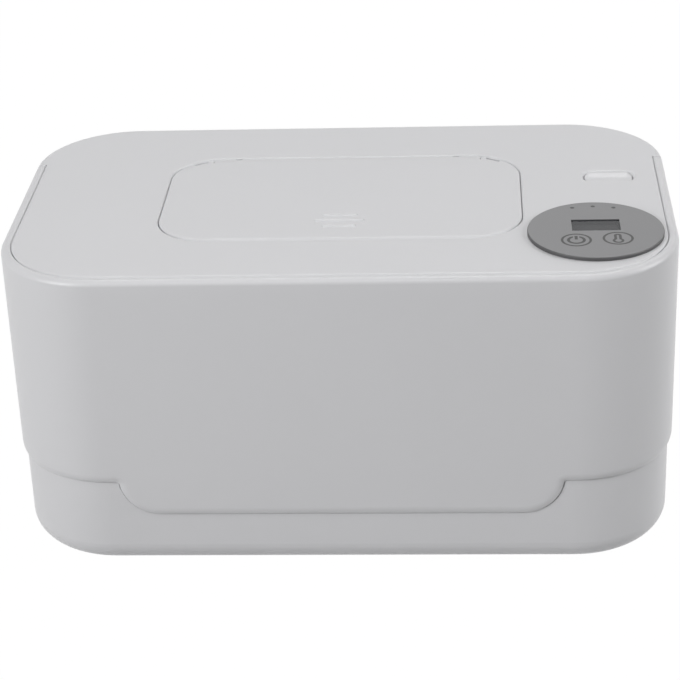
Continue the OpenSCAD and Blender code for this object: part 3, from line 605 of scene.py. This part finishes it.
@dataclass(frozen=True)
class OuterShell:
    """The outer shell with its rolled rim and the lip that curls in above the base.

    Lengths are in millimetres, as in the CAD model.

    Attributes:
        wall: Thickness of its wall.
        roll: Radius of the rim's outer edge.
        rim_edge: Radius of the rim's inner edge.
        ledge: Reach of the ledge that carries the tub.
        ledge_low: Height of the ledge's underside.
        ledge_high: Height of the ledge's face.
        seam: Height of the seam.
        apron_half: Half width between the centres of the apron's corners.
        apron_low: Height of the apron's lower edge.
        apron_r: Radius of the apron's corners.
        notch_r: Radius between the apron's corner and the seam.
        lip: Height over which the lip curls.
        curl: How far the lip curls in.
        rim_on: How far the rim runs on behind the corner's start.
        shelf: Reach at the sides of the step below the rim's inner edge.
        shelf_z: Height of that step.
        shelf_edge: Height of its softened edge.
        axis: Place and height of the lid's hinge.
        swing: Radius that the lid needs about its hinge.
        cut: Height of the shell behind the rim's ends.
        levels: Heights of the rows on the wall.
    """

    wall: float = 2.6
    roll: float = 2.1
    rim_edge: float = 0.35
    ledge: float = 9.0
    ledge_low: float = 98.6
    ledge_high: float = 101.6
    seam: float = 36.3
    apron_half: float = 65.0
    apron_low: float = 23.0
    apron_r: float = 14.5
    notch_r: float = 1.3
    lip: float = 3.3
    curl: float = 0.9
    rim_on: float = 0.2
    shelf: float = 0.17
    shelf_z: float = 115.5
    shelf_edge: float = 0.1
    axis: tuple[float, float] = (67.0, 112.3)
    swing: float = 6.3
    cut: float = 106.0
    levels: tuple[float, ...] = (50.0, 62.0, 75.0, 88.0, 98.6, 104.0, 106.0, 110.0)

    # Half the flat of the front, half the flat of a side, and the way round a corner.
    FLAT_X = MODEL.width / 2 - MODEL.corner
    FLAT_Y = MODEL.depth / 2 - MODEL.corner
    TURN = MODEL.corner * math.pi / 2
    # Steps along the lower edge, then steps and rows of the section.
    LEVEL_STEPS = 12
    CORNER_STEPS = 28
    NOTCH_STEPS = 14
    TURN_STEPS = 30
    SIDE_STEPS = 8
    BACK_STEPS = 6
    CURL_STEPS = 12
    ROLL_STEPS = 10
    EDGE_STEPS = 4
    INNER_STEPS = 4
    INNER_LEVELS = 5
    RIM_LEVELS = 2
    # How far before the rim's end the stops of its rounding lie.
    RIM_END_STEPS = (0.5, 0.35, 0.2, 0.1, 0.03, 0.0)
    # The largest angle that is shaded as a round, in degrees.
    SMOOTH = 32.0

    def rim_end(self) -> float:
        """Returns how far along the outline the rim ends."""
        return self.FLAT_X + self.TURN + 2 * self.FLAT_Y + self.rim_on

    def plan(self, along: float, inward: float) -> tuple[float, float]:
        """Returns a plan point of the right half, from the front's middle to the back's middle.

        Args:
            along: Way along the shell's outline.
            inward: Way in from the outline.

        Returns:
            The point, in millimetres.
        """
        radius = MODEL.corner - inward
        if along <= self.FLAT_X:
            return along, inward - MODEL.depth / 2
        along -= self.FLAT_X
        if along <= self.TURN:
            angle = along / MODEL.corner
            return self.FLAT_X + radius * math.sin(angle), -self.FLAT_Y - radius * math.cos(angle)
        along -= self.TURN
        if along <= 2 * self.FLAT_Y:
            return MODEL.width / 2 - inward, along - self.FLAT_Y
        along -= 2 * self.FLAT_Y
        if along <= self.TURN:
            angle = along / MODEL.corner
            return self.FLAT_X + radius * math.cos(angle), self.FLAT_Y + radius * math.sin(angle)
        return self.FLAT_X - (along - self.TURN), MODEL.depth / 2 - inward

    def sideways(self, along: float, inward: float) -> float:
        """Returns how far the outline faces sideways: 0 at the front and 1 at the sides."""
        return abs(self.plan(along, inward)[0] - self.plan(along, inward + 1.0)[0])

    def _apron(self) -> list[Stop]:
        """Follows the apron's lower edge, round its corner and round the notch up to the seam.

        Returns:
            The stops, from the front's middle.
        """
        mid_z = self.apron_low + self.apron_r
        reach = self.apron_r + self.notch_r
        turn = math.acos((mid_z - self.seam + self.notch_r) / reach)
        notch_x, notch_z = self.apron_half + reach * math.sin(turn), self.seam - self.notch_r
        stops = [Stop(u, self.apron_low) for u in spaced(0.0, self.apron_half, self.LEVEL_STEPS)[:-1]]
        for a in spaced(0.0, turn, self.CORNER_STEPS):
            x, z = self.apron_half + self.apron_r * math.sin(a), mid_z - self.apron_r * math.cos(a)
            stops.append(Stop(x, z, (-math.sin(a), math.cos(a))))
        for a in spaced(turn, 0.0, self.NOTCH_STEPS)[1:]:
            x, z = notch_x - self.notch_r * math.sin(a), notch_z + self.notch_r * math.cos(a)
            stops.append(Stop(x, z, (-math.sin(a), math.cos(a))))
        return stops

    def _seam(self) -> list[Stop]:
        """Follows the seam from the front corner to the back's middle, with the rim's end twice.

        Returns:
            The stops.
        """
        side = self.FLAT_X + self.TURN
        end = self.rim_end()
        back = end - self.rim_on
        middle = back + self.TURN + self.FLAT_X
        rim = spaced(self.FLAT_X, side, self.TURN_STEPS) + spaced(side, back, self.SIDE_STEPS)[1:-1]
        rim += [end - before for before in self.RIM_END_STEPS]
        rest = [end] + spaced(back, back + self.TURN, self.TURN_STEPS)[1:]
        rest += spaced(back + self.TURN, middle, self.BACK_STEPS)[1:]
        return [Stop(u, self.seam) for u in rim] + [Stop(u, self.seam, behind=True) for u in rest]

    def _kept(self, y: float, z: float) -> float:
        """Lowers a height to what the lid's swing leaves behind the rim's ends.

        Args:
            y: Place of the point.
            z: Its height.

        Returns:
            The lowered height.
        """
        back = y - self.axis[0]
        limit = self.cut
        if back > 0:
            limit = self.axis[1] - math.sqrt(max(self.swing ** 2 - back ** 2, 0.0))
        return min(z, limit)

    def _rows(self) -> list[tuple[Row, float, float]]:
        """Lists the section's rows, from the lip's lower edge up, over the rim and down inside.

        Returns:
            Each row's kind, its way up the lip or its height, and its depth in the wall.
        """
        bend = (self.lip ** 2 + self.curl ** 2) / (2 * self.curl)
        rows = [(Row.CURL, up, bend - math.sqrt(bend ** 2 - (self.lip - up) ** 2))
                for up in spaced(0.0, self.lip, self.CURL_STEPS)]
        rows += [(Row.WALL, z, 0.0) for z in self.levels]
        rows += [(Row.WALL, MODEL.top - down, inward) for inward, down in quarter(self.roll, self.ROLL_STEPS)]
        rows += [(Row.WALL, MODEL.top - inward, MODEL.rim - down)
                 for inward, down in quarter(self.rim_edge, self.EDGE_STEPS)]
        rows += [(Row.WALL, self.shelf_z + self.shelf_edge, MODEL.rim)]
        below = reversed(self.levels[-self.RIM_LEVELS:])
        rows += [(Row.SHELF, z, MODEL.rim) for z in (self.shelf_z, *below, self.ledge_high)]
        rows += [(Row.WALL, self.ledge_high, self.ledge), (Row.WALL, self.ledge_low, self.ledge)]
        rows += [(Row.WALL, z, self.wall) for z in reversed(self.levels[:self.INNER_LEVELS])]
        rows += [(Row.CURL, up, self.wall) for up in spaced(self.lip, 0.0, self.INNER_STEPS)]
        return rows

    def _column(self, stop: Stop) -> Ring:
        """Works out the section at one stop of the lower edge.

        Args:
            stop: The place.

        Returns:
            The section's points, in the order of the rows.
        """
        past = max(0.0, stop.along - self.rim_end() + self.rim_edge)
        short = self.rim_edge - math.sqrt(max(self.rim_edge ** 2 - past ** 2, 0.0))
        column = []
        for kind, place, inward in self._rows():
            if kind is Row.CURL:
                x, y = self.plan(stop.along + stop.into[0] * place, inward)
                column.append((x, y, stop.height + stop.into[1] * place))
                continue
            x, y = self.plan(stop.along + stop.into[0] * self.lip, inward)
            if kind is Row.SHELF:
                # 0 at the front and 1 at the sides. Above the apron's corners the lip's slant adds to it.
                sideways = abs(x - self.plan(stop.along, inward + 1.0)[0])
                x, y = self.plan(stop.along, inward + self.shelf * sideways)
            share = max(0.0, place - self.cut) / (MODEL.top - self.cut)
            column.append((x, y, self._kept(y, place) if stop.behind else place - share * short))
        return column

    def build(self) -> None:
        """Makes the shell in place of its CAD node."""
        mesh = bmesh.new()
        skin(mesh, [self._column(stop) for stop in self._apron() + self._seam()], capped=False)
        mirror(mesh)
        bmesh.ops.remove_doubles(mesh, verts=mesh.verts, dist=MERGE)
        bmesh.ops.dissolve_degenerate(mesh, edges=mesh.edges, dist=MERGE)
        soften(mesh, self.SMOOTH)
        piece("outer_shell_curled", mesh, Body.ROOT, Slot.SHELL, ["outer_shell"])


@dataclass(frozen=True)
class Strip:
    """A strip that follows a lid's edge, with one corner rounded and the rest hidden in the lid.

    Lengths are in millimetres, as in the CAD model.

    Attributes:
        reach: How far it runs into the lid.
        inner: Height of its inner end.
        foot: How far in its foot runs.
        height: Height of its outer face.
        bury: How far its outer face lies inside the edge that it follows.
        sunk: How far its face lies below the lid's.
    """

    reach: float
    inner: float
    foot: float
    height: float
    bury: float = 0.004
    sunk: float = 0.002

    STEPS = 8

    def section(self, radius: float, out: float = 0.0) -> list[tuple[float, float]]:
        """Returns the strip's section.

        Args:
            radius: Radius of its rounded corner.
            out: How far its outer face stands out from the edge.

        Returns:
            For each point, the way in from the edge that it follows, and the height.
        """
        top = MODEL.top - self.sunk
        face = self.bury - out
        hidden = [(self.reach, top), (self.reach, top - self.inner), (self.foot, top - self.height),
                  (face, top - self.height)]
        return hidden + [(face + inward, top - down) for inward, down in quarter(radius, self.STEPS)]


@dataclass(frozen=True)
class LidEdge:
    """The lid's edge beside the rim, rounded less at the sides than at the front.

    Lengths are in millimetres, as in the CAD model.

    Attributes:
        strip: The strip along the edge.
        round_front: Radius of the lid's edge at the front, as in the CAD model.
        round_side: Radius of the lid's edge at the sides.
        lead: How far round the front corner the strip starts.
        tail: How far it runs on past the rim's end, into the lid.
    """

    strip: Strip = Strip(reach=1.7, inner=0.598, foot=0.6, height=1.798)
    round_front: float = 1.5
    round_side: float = 0.45
    lead: float = 1.0
    tail: float = 0.15

    INSET = MODEL.rim + MODEL.lid_gap
    STEPS = 60

    def _ring(self, shell: OuterShell, along: float) -> Ring:
        """Places the strip's section.

        Args:
            shell: The shell whose outline the strip follows.
            along: Way along that outline.

        Returns:
            The section's points.
        """
        share = shell.sideways(along, self.INSET) ** 2
        radius = self.round_front - (self.round_front - self.round_side) * share
        return [(*shell.plan(along, self.INSET + inward), z) for inward, z in self.strip.section(radius)]

    def build(self) -> None:
        """Makes the strips at the lid's left and right."""
        shell = OuterShell()
        stops = spaced(shell.FLAT_X + self.lead, shell.rim_end() + self.tail, self.STEPS)
        mesh = bmesh.new()
        skin(mesh, [self._ring(shell, along) for along in stops])
        mirror(mesh)
        soften(mesh, SHARP)
        piece("lid_side_edges", mesh, Body.LID, Slot.SHELL)


@dataclass(frozen=True)
class FlipEdge:
    """The flip lid's left and right edges, which stand closer to the pocket than at the front.

    Lengths are in millimetres, as in the CAD model.

    Attributes:
        strip: The strip along the edge.
        mid: Centre of the right back corner.
        corner: Radius of the corners.
        out: How far the sides stand out.
        out_back: How much further the strip stands out round the back corner.
        round_front: Radius of the edge at the front, as in the CAD model.
        round_side: Radius of the edge at the sides.
        last: Angle at which the strip ends in the back corner, in degrees.
    """

    strip: Strip = Strip(reach=1.8, inner=1.0, foot=0.4, height=2.1)
    mid: tuple[float, float] = (46.5, 18.5)
    corner: float = 19.0
    out: float = 0.15
    out_back: float = 0.9
    round_front: float = 1.6
    round_side: float = 0.5
    last: float = 50.0

    FRONT_STEPS = 16
    SIDE_STEPS = 8
    BACK_STEPS = 10

    def _ring(self, y: float, angle: float) -> Ring:
        """Places the strip's section.

        Args:
            y: Place of the centre that the edge turns about.
            angle: Direction from that centre, 0 for straight sideways.

        Returns:
            The section's points.
        """
        to_side, to_back = math.cos(angle), math.sin(angle)
        out = self.out * to_side ** 2 + self.out_back * max(0.0, to_back) * to_side
        share = to_side ** 2 if to_back < 0 else 1.0
        radius = self.round_front - (self.round_front - self.round_side) * share
        ring = []
        for inward, z in self.strip.section(radius, out):
            away = self.corner - inward
            ring.append((self.mid[0] + to_side * away, y + to_back * away, z))
        return ring

    def build(self) -> None:
        """Makes the strips at the flip lid's left and right."""
        back = self.mid[1]
        stops = [(-back, angle) for angle in spaced(-math.pi / 2, 0.0, self.FRONT_STEPS)[1:]]
        stops += [(y, 0.0) for y in spaced(-back, back, self.SIDE_STEPS)[1:]]
        stops += [(back, angle) for angle in spaced(0.0, math.radians(self.last), self.BACK_STEPS)[1:]]
        mesh = bmesh.new()
        skin(mesh, [self._ring(y, angle) for y, angle in stops])
        mirror(mesh)
        soften(mesh, SHARP)
        piece("flip_lid_side_edges", mesh, Body.FLIP, Slot.SHELL)


@dataclass(frozen=True)
class FlipHinge:
    """The round back edge of the flip lid, the covers of its notches and the ribs behind its ears.

    Lengths are in millimetres, as in the CAD model.

    Attributes:
        axis: Place and height of the flip lid's hinge.
        thick: Thickness of the flip lid.
        gap: Gap between the round edge and the pocket's wall as it turns.
        plate: Place of the flip lid's plain back face.
        lap: How far the round edge's face reaches over the plate.
        ease_back: How far before the round edge the face starts to fall.
        ease_mid: A point of that fall: its way from the edge and its depth.
        ease_down: Depth at which the round edge starts.
        hidden: Points of the section inside the plate: way in from its back face, and depth.
        runs: Stretches between the ears, left end and right end.
        ears: Places of the ears.
        ear: Thickness of an ear.
        corner_mid: Centre of the pocket's back corner.
        corner_r: Radius of the pocket's corners.
        notch: Front and half width of the notch that an ear stands in.
        cover_gap: Gap between a cover and the pocket's wall as it turns.
        cover_end: The furthest that a cover reaches behind the axis.
        cover: Depth of a cover's underside and of its face.
        rib_gap: Gap between a rib and what turns in front of it.
        notch_swing: What the front of a notch adds to the radius that the ribs clear.
        rib: Depth of a rib's lower end and of its upper end.
        set_in: How far a rib is set into the pocket's wall.
        least: Length below which a cover or a rib is left out.
        soft: Radius of the upright edges of covers and ribs.
    """

    axis: tuple[float, float] = (36.2, 114.8)
    thick: float = 2.2
    gap: float = 0.18
    plate: float = 37.4
    lap: float = 1.6
    ease_back: float = 0.27
    ease_mid: tuple[float, float] = (0.09, 0.045)
    ease_down: float = 0.18
    hidden: tuple[tuple[float, float], ...] = ((0.0, 1.7), (0.45, 0.6))
    runs: tuple[tuple[float, float], ...] = ((-51.1, -42.9), (-40.5, 40.5), (42.9, 51.1))
    ears: tuple[float, ...] = (-52.3, -41.7, 41.7, 52.3)
    ear: float = 2.0
    corner_mid: tuple[float, float] = (46.5, 19.5)
    corner_r: float = 19.3
    notch: tuple[float, float] = (34.76, 1.35)
    cover_gap: float = 0.1
    cover_end: float = 1.15
    cover: tuple[float, float] = (0.07, 0.012)
    rib_gap: float = 0.12
    notch_swing: float = 0.4
    rib: tuple[float, float] = (7.0, 0.05)
    set_in: float = 0.1
    least: float = 0.15
    soft: float = 0.05

    ROUND_STEPS = 8
    STEP = 2.0

    def _wall(self, x: float) -> float:
        """Returns how far back the pocket's wall stands at a place along the hinge."""
        past = max(0.0, abs(x) - self.corner_mid[0])
        return self.corner_mid[1] + math.sqrt(self.corner_r ** 2 - past ** 2)

    def _round_edge(self, x: float) -> Ring:
        """Works out the round edge's section.

        Args:
            x: Place along the hinge.

        Returns:
            The section's points.
        """
        axis_y, axis_z = self.axis
        radius = self._wall(x) - axis_y - self.gap
        up = MODEL.top - axis_z
        start = math.asin(min(1.0, (up - self.ease_down) / radius))
        end = -math.asin(min(1.0, (self.thick - up) / radius))
        edge = axis_y + math.sqrt(radius ** 2 - up ** 2)
        ring = [(x, self.plate - self.lap, MODEL.top), (x, edge - self.ease_back, MODEL.top),
                (x, edge - self.ease_mid[0], MODEL.top - self.ease_mid[1])]
        for a in spaced(start, end, self.ROUND_STEPS):
            ring.append((x, axis_y + radius * math.cos(a), axis_z + radius * math.sin(a)))
        ring.append((x, self.plate, MODEL.top - self.thick))
        return ring + [(x, self.plate - inward, MODEL.top - down) for inward, down in self.hidden]

    def _edge(self) -> None:
        """Makes the flip lid's round back edge between the ears."""
        mesh = bmesh.new()
        for left, right in self.runs:
            steps = int((right - left) / self.STEP)
            skin(mesh, [self._round_edge(x) for x in spaced(left, right, steps)])
        soften(mesh, SHARP)
        piece("flip_lid_round_edge", mesh, Body.FLIP, Slot.SHELL)

    def _block(self, mesh: bmesh.types.BMesh, x: float, ends: tuple[float, float], width: float,
               depths: tuple[float, float]) -> None:
        """Adds an upright block to a mesh, unless it is too short to be worth its place.

        Args:
            mesh: What it is added to.
            x: Its place along the hinge.
            ends: Its front and its back.
            width: Its width.
            depths: Depth of its lower end and of its upper end below the lid's face.
        """
        front, back = ends
        if back - front < self.least:
            return
        mid = (x, (front + back) / 2)
        skin(mesh, [rounded(mid, width, back - front, self.soft, MODEL.top - down, steps=1)
                    for down in depths])

    def _ears(self) -> None:
        """Makes the covers of the flip lid's notches and the ribs behind its ears."""
        covers, ribs = bmesh.new(), bmesh.new()
        axis_y, axis_z = self.axis
        up = MODEL.top - axis_z
        for x in self.ears:
            half = self.notch[1] if abs(x) < self.corner_mid[0] else self.ear / 2
            wall = self._wall(abs(x) + half)
            end = min(math.sqrt(max((wall - axis_y - self.cover_gap) ** 2 - up ** 2, 0.0)), self.cover_end)
            swing = max(math.hypot(end, up), axis_y - self.notch[0] + self.notch_swing)
            self._block(covers, x, (self.notch[0], axis_y + end), 2 * half, self.cover)
            self._block(ribs, x, (axis_y + swing + self.rib_gap, wall + self.set_in), self.ear, self.rib)
        soften(covers, SHARP)
        piece("flip_lid_ear_covers", covers, Body.FLIP, Slot.SHELL)
        soften(ribs, SHARP)
        piece("flip_ear_ribs", ribs, Body.LID, Slot.SHELL)

    def build(self) -> None:
        """Makes the round edge on the flip lid, its covers, and the ribs on the lid."""
        self._edge()
        self._ears()


def ease(t: float) -> float:
    """Returns a smooth rise from 0 at 0 and below to 1 at 1 and above."""
    t = min(1.0, max(0.0, t))
    return t * t * (3 - 2 * t)


@dataclass(frozen=True)
class ReleaseButton:
    """The release button with its softly rising cap, flange and slanted leg.

    Lengths are in millimetres, as in the CAD model. Shares run from the cap's middle to its edge.

    Attributes:
        width: Length of the cap.
        depth: Depth of the cap.
        corner: Radius of its corners in plan.
        crest: Height of its edge.
        neck: Height up to which its sides are plain.
        dish: How far its middle dips.
        soft: Radius of its upper edge.
        middle: Half depth of the flat at its middle.
        middle_r: Radius of the corners of that flat.
        rise: How far its face rises towards the back.
        rise_from: Share of the depth at which that rise starts, and the share that it takes.
        rise_ends: Share of the length over which it fades out at each end.
        lip: How far the middle of its front edge rises.
        lip_from: Share of the depth at which the front lip starts, and the share that it takes.
        lip_ends: Share of the length at which the lip has faded out, and the share that it takes.
        flange: Reach of the flange, its thickness and its gap above the spring.
        leg: Left and right edge of the leg at its lower end, that end's height, and its width.
        sink: How far cap and leg run into the flange.
    """

    width: float = 17.75
    depth: float = 8.35
    corner: float = 3.37
    crest: float = 115.35
    neck: float = 114.0
    dish: float = 0.1
    soft: float = 0.3
    middle: float = 0.25
    middle_r: float = 0.12
    rise: float = 0.6
    rise_from: tuple[float, float] = (-0.1, 0.9)
    rise_ends: float = 0.22
    lip: float = 0.45
    lip_from: tuple[float, float] = (-0.55, 0.35)
    lip_ends: tuple[float, float] = (0.62, 0.4)
    flange: tuple[float, float, float] = (1.3, 1.1, 0.05)
    leg: tuple[float, float, float, float] = (107.9, 109.6, 109.0, 3.9)
    sink: tuple[float, float] = (0.1, 0.2)

    SOFT_STEPS = 6
    DISH_STEPS = 8

    def _ring(self, inward: float, z: float) -> Ring:
        """Returns the cap's outline, drawn in by a distance, at a height."""
        radius = max(self.corner - inward, self.middle_r)
        return rounded(MODEL.button, self.width - 2 * inward, self.depth - 2 * inward, radius, z)

    def _raised(self, x: float, y: float) -> float:
        """Works out how far the cap's face is raised.

        Args:
            x: Place along the cap.
            y: Place across the cap.

        Returns:
            The rise.
        """
        across = abs(x - MODEL.button[0]) / (self.width / 2)
        back = (y - MODEL.button[1]) / (self.depth / 2)
        rise = ease((back - self.rise_from[0]) / self.rise_from[1]) * ease((1.0 - across) / self.rise_ends)
        lip = ease((self.lip_from[0] - back) / self.lip_from[1])
        return self.rise * rise + self.lip * lip * ease((self.lip_ends[0] - across) / self.lip_ends[1])

    def _crown(self) -> list[Ring]:
        """Lists the rings of the cap's rounded edge and dished face, before they are raised.

        Returns:
            The rings, from the edge to the middle.
        """
        rings = [self._ring(inward, self.crest - down)
                 for inward, down in quarter(self.soft, self.SOFT_STEPS)]
        for share in spaced(0.0, 1.0, self.DISH_STEPS)[1:]:
            inward = self.soft + (self.depth / 2 - self.soft - self.middle) * share
            dip = self.dish * (0.5 - 0.5 * math.cos(math.pi * share))
            rings.append(self._ring(inward, self.crest - dip))
        return rings

    def build(self) -> None:
        """Makes the button in place of its CAD node."""
        reach, thick, clear = self.flange
        low = MODEL.flange_low + clear
        mesh = bmesh.new()
        neck = [self._ring(0.0, z) for z in (low + self.sink[0], self.neck)]
        skin(mesh, neck + [[(x, y, z + self._raised(x, y)) for x, y, z in ring] for ring in self._crown()])
        skin(mesh, [self._ring(-reach, z) for z in (low, low + thick)])
        left, right, foot, wide = self.leg
        rise = low + self.sink[1] - foot
        corners = ((left, -1), (right, -1), (right, 1), (left, 1))
        skin(mesh, [[(x - slant, MODEL.button[1] + side * wide / 2, foot + slant) for x, side in corners]
                    for slant in (0.0, rise)])
        soften(mesh, SHARP)
        piece("release_button_cap", mesh, Body.BUTTON, Slot.SHELL, ["release_button"])


@dataclass(frozen=True)
class ReleaseSpring:
    """The coil spring below the release button, which shortens as the button goes down; here it is one rigid
    coil that rides on the lid.

    Lengths are in millimetres, as in the CAD model.

    Attributes:
        radius: Radius of the coil.
        wire: Radius of the wire.
        low: Height of its lower end.
        turns: Number of turns.
    """

    radius: float = 3.0
    wire: float = 0.25
    low: float = 108.3
    turns: int = 4

    STEPS = 24
    SIDES = 8
    SMOOTH = 50.0
    UP = (0.0, 0.0, 1.0)

    def build(self) -> None:
        """Makes the spring in place of its CAD node, as a wire's circle that turns and climbs."""
        x, y = MODEL.button
        height = MODEL.flange_low - self.low
        count = self.turns * self.STEPS
        start = Matrix.Translation(Vector((x + self.radius, y, self.low + self.wire)) * MM)
        upright = Matrix.Rotation(math.pi / 2, 4, "X")
        mesh = bmesh.new()
        bmesh.ops.create_circle(mesh, segments=self.SIDES, radius=self.wire * MM, matrix=start @ upright)
        bmesh.ops.spin(mesh, geom=[*mesh.verts, *mesh.edges], cent=Vector((x, y, 0.0)) * MM,
                       axis=self.UP, dvec=Vector(self.UP) * ((height - 2 * self.wire) / count * MM),
                       angle=2 * math.pi * self.turns, steps=count)
        bmesh.ops.holes_fill(mesh, edges=mesh.edges, sides=self.SIDES)
        soften(mesh, self.SMOOTH)
        made = piece("release_spring_coil", mesh, Body.LID, Slot.STEEL, ["release_spring"])
        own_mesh(made)


class Carried:
    """The CAD nodes that stay in view, each with its finish."""

    def build(self) -> None:
        """Paints every CAD node by the record's slots."""
        slots = {s["node"]: s["material_slot"] for s in frame["record"]["subparts"]}
        for name, node in frame["nodes"].items():
            material = PAINT.get(Slot(slots[name]))
            node.data.materials.clear()
            node.data.materials.append(material)
            log.info("%s: %s", name, slots[name])


@dataclass(frozen=True)
class View:
    """The photograph's camera.

    Attributes:
        place: Where it stands, in metres.
        yaw: Turn about the vertical, in degrees.
        pitch: Tilt down, in degrees.
        roll: Roll about the line of sight, in degrees.
        lens: Focal length on a 36 mm sensor, in millimetres.
    """

    place: Point = (0.047493, -0.723228, 0.42433)
    yaw: float = -3.991
    pitch: float = 26.88
    roll: float = -2.327
    lens: float = 112.868

    SENSOR = 36.0
    CLIP = (0.01, 20.0)

    def build(self) -> None:
        """Makes the camera and looks through it."""
        yaw, pitch, roll = (math.radians(a) for a in (self.yaw, self.pitch, self.roll))
        ahead = Vector((math.sin(yaw) * math.cos(pitch), math.cos(yaw) * math.cos(pitch), -math.sin(pitch)))
        right = Vector((math.cos(yaw), -math.sin(yaw), 0.0))
        up = right.cross(ahead)
        across = right * math.cos(roll) + up * math.sin(roll)
        upward = up * math.cos(roll) - right * math.sin(roll)
        data = bpy.data.cameras.new("camera")
        data.sensor_width = self.SENSOR
        data.sensor_fit = "HORIZONTAL"
        data.lens = self.lens
        data.clip_start, data.clip_end = self.CLIP
        made = bpy.data.objects.new("camera", data)
        turn = Matrix((across, upward, -ahead)).transposed().to_4x4()
        made.matrix_world = Matrix.Translation(self.place) @ turn
        bpy.context.scene.collection.objects.link(made)
        bpy.context.scene.camera = made


@dataclass(frozen=True)
class Lamp:
    """A soft square studio light that faces the object.

    Attributes:
        name: Its name.
        place: Where it hangs, in metres.
        watts: Its power.
        size: Width and height, in metres.
    """

    name: str
    place: Point
    watts: float
    size: float = 1.0

    MIDDLE = (0.0, 0.0, 0.06)

    def build(self) -> None:
        """Makes the light and aims it at the object's middle."""
        data = bpy.data.lights.new(self.name, "AREA")
        data.shape = "SQUARE"
        data.size = self.size
        data.energy = self.watts
        made = bpy.data.objects.new(self.name, data)
        place = Vector(self.place)
        aim = Vector(self.MIDDLE) - place
        made.matrix_world = Matrix.Translation(place) @ aim.to_track_quat("-Z", "Y").to_matrix().to_4x4()
        bpy.context.scene.collection.objects.link(made)


class Studio:
    """Floor, backdrop, world and lights.

    The floor and the world are white to the camera and to mirrored and refracted rays. The floor
    keeps a little of its lit grey there, for the object's shadow.
    """

    LAMPS = (
        Lamp("key", (-1.124, -1.124, 0.845), 20.2),
        Lamp("front", (0.0, -0.954, 1.526), 7.3),
        Lamp("side", (1.589, 0.0, 0.845), 16.4),
        Lamp("back", (0.0, 0.954, 1.526), 8.6),
    )
    WORLD_LIGHT = 0.01
    FLOOR_GREY = (0.5, 0.5, 0.5, 1.0)
    FLOOR_WHITE = 1.012
    FLOOR_SEEN = 0.985
    FLOOR_HALF = 6.0
    FLOOR_DOWN = 0.0002

    def build(self) -> None:
        """Makes the stage."""
        self._floor()
        self._world()
        for lamp in self.LAMPS:
            lamp.build()

    def _seen(self, graph: Graph) -> Sock:
        """Returns 1 for rays that show the background: camera, glossy and transmission rays."""
        camera = graph.node("ShaderNodeLightPath", out="Is Camera Ray")
        return camera.maximum(camera.sibling("Is Glossy Ray")).maximum(camera.sibling("Is Transmission Ray"))

    def _floor(self) -> None:
        """Makes the floor, which keeps the object's shadow."""
        graph = Graph.of_material("floor_paint")
        lit = graph.node("ShaderNodeBsdfDiffuse", {"Color": self.FLOOR_GREY})
        white = graph.node("ShaderNodeEmission", {"Color": WHITE, "Strength": self.FLOOR_WHITE})
        shader = graph.node("ShaderNodeMixShader", [self._seen(graph) * self.FLOOR_SEEN, lit, white])
        mesh = bmesh.new()
        bmesh.ops.create_grid(mesh, x_segments=1, y_segments=1, size=self.FLOOR_HALF)
        data = bpy.data.meshes.new("floor")
        mesh.to_mesh(data)
        mesh.free()
        data.materials.append(graph.surface(shader))
        floor = bpy.data.objects.new("floor", data)
        floor.location.z = -self.FLOOR_DOWN
        bpy.context.scene.collection.objects.link(floor)

    def _world(self) -> None:
        """Makes the world: a white backdrop that lights the object only faintly."""
        world = bpy.data.worlds.new("studio")
        bpy.context.scene.world = world
        graph = Graph(world)
        lit = graph.node("ShaderNodeBackground", {"Color": WHITE, "Strength": self.WORLD_LIGHT})
        white = graph.node("ShaderNodeBackground", {"Color": WHITE, "Strength": 1.0})
        shader = graph.node("ShaderNodeMixShader", [self._seen(graph), lit, white])
        graph.node("ShaderNodeOutputWorld", {"Surface": shader})


def main() -> None:
    """Builds the looks."""
    logging.basicConfig(level=logging.INFO, format="%(name)s %(message)s")
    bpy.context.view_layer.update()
    bpy.context.scene.view_settings.view_transform = "Standard"
    Carried().build()
    for part in (OuterShell(), LidEdge(), FlipEdge(), FlipHinge(), ReleaseButton(), ReleaseSpring()):
        part.build()
    View().build()
    Studio().build()
    bpy.context.view_layer.update()


if __name__ == "__main__":
    main()
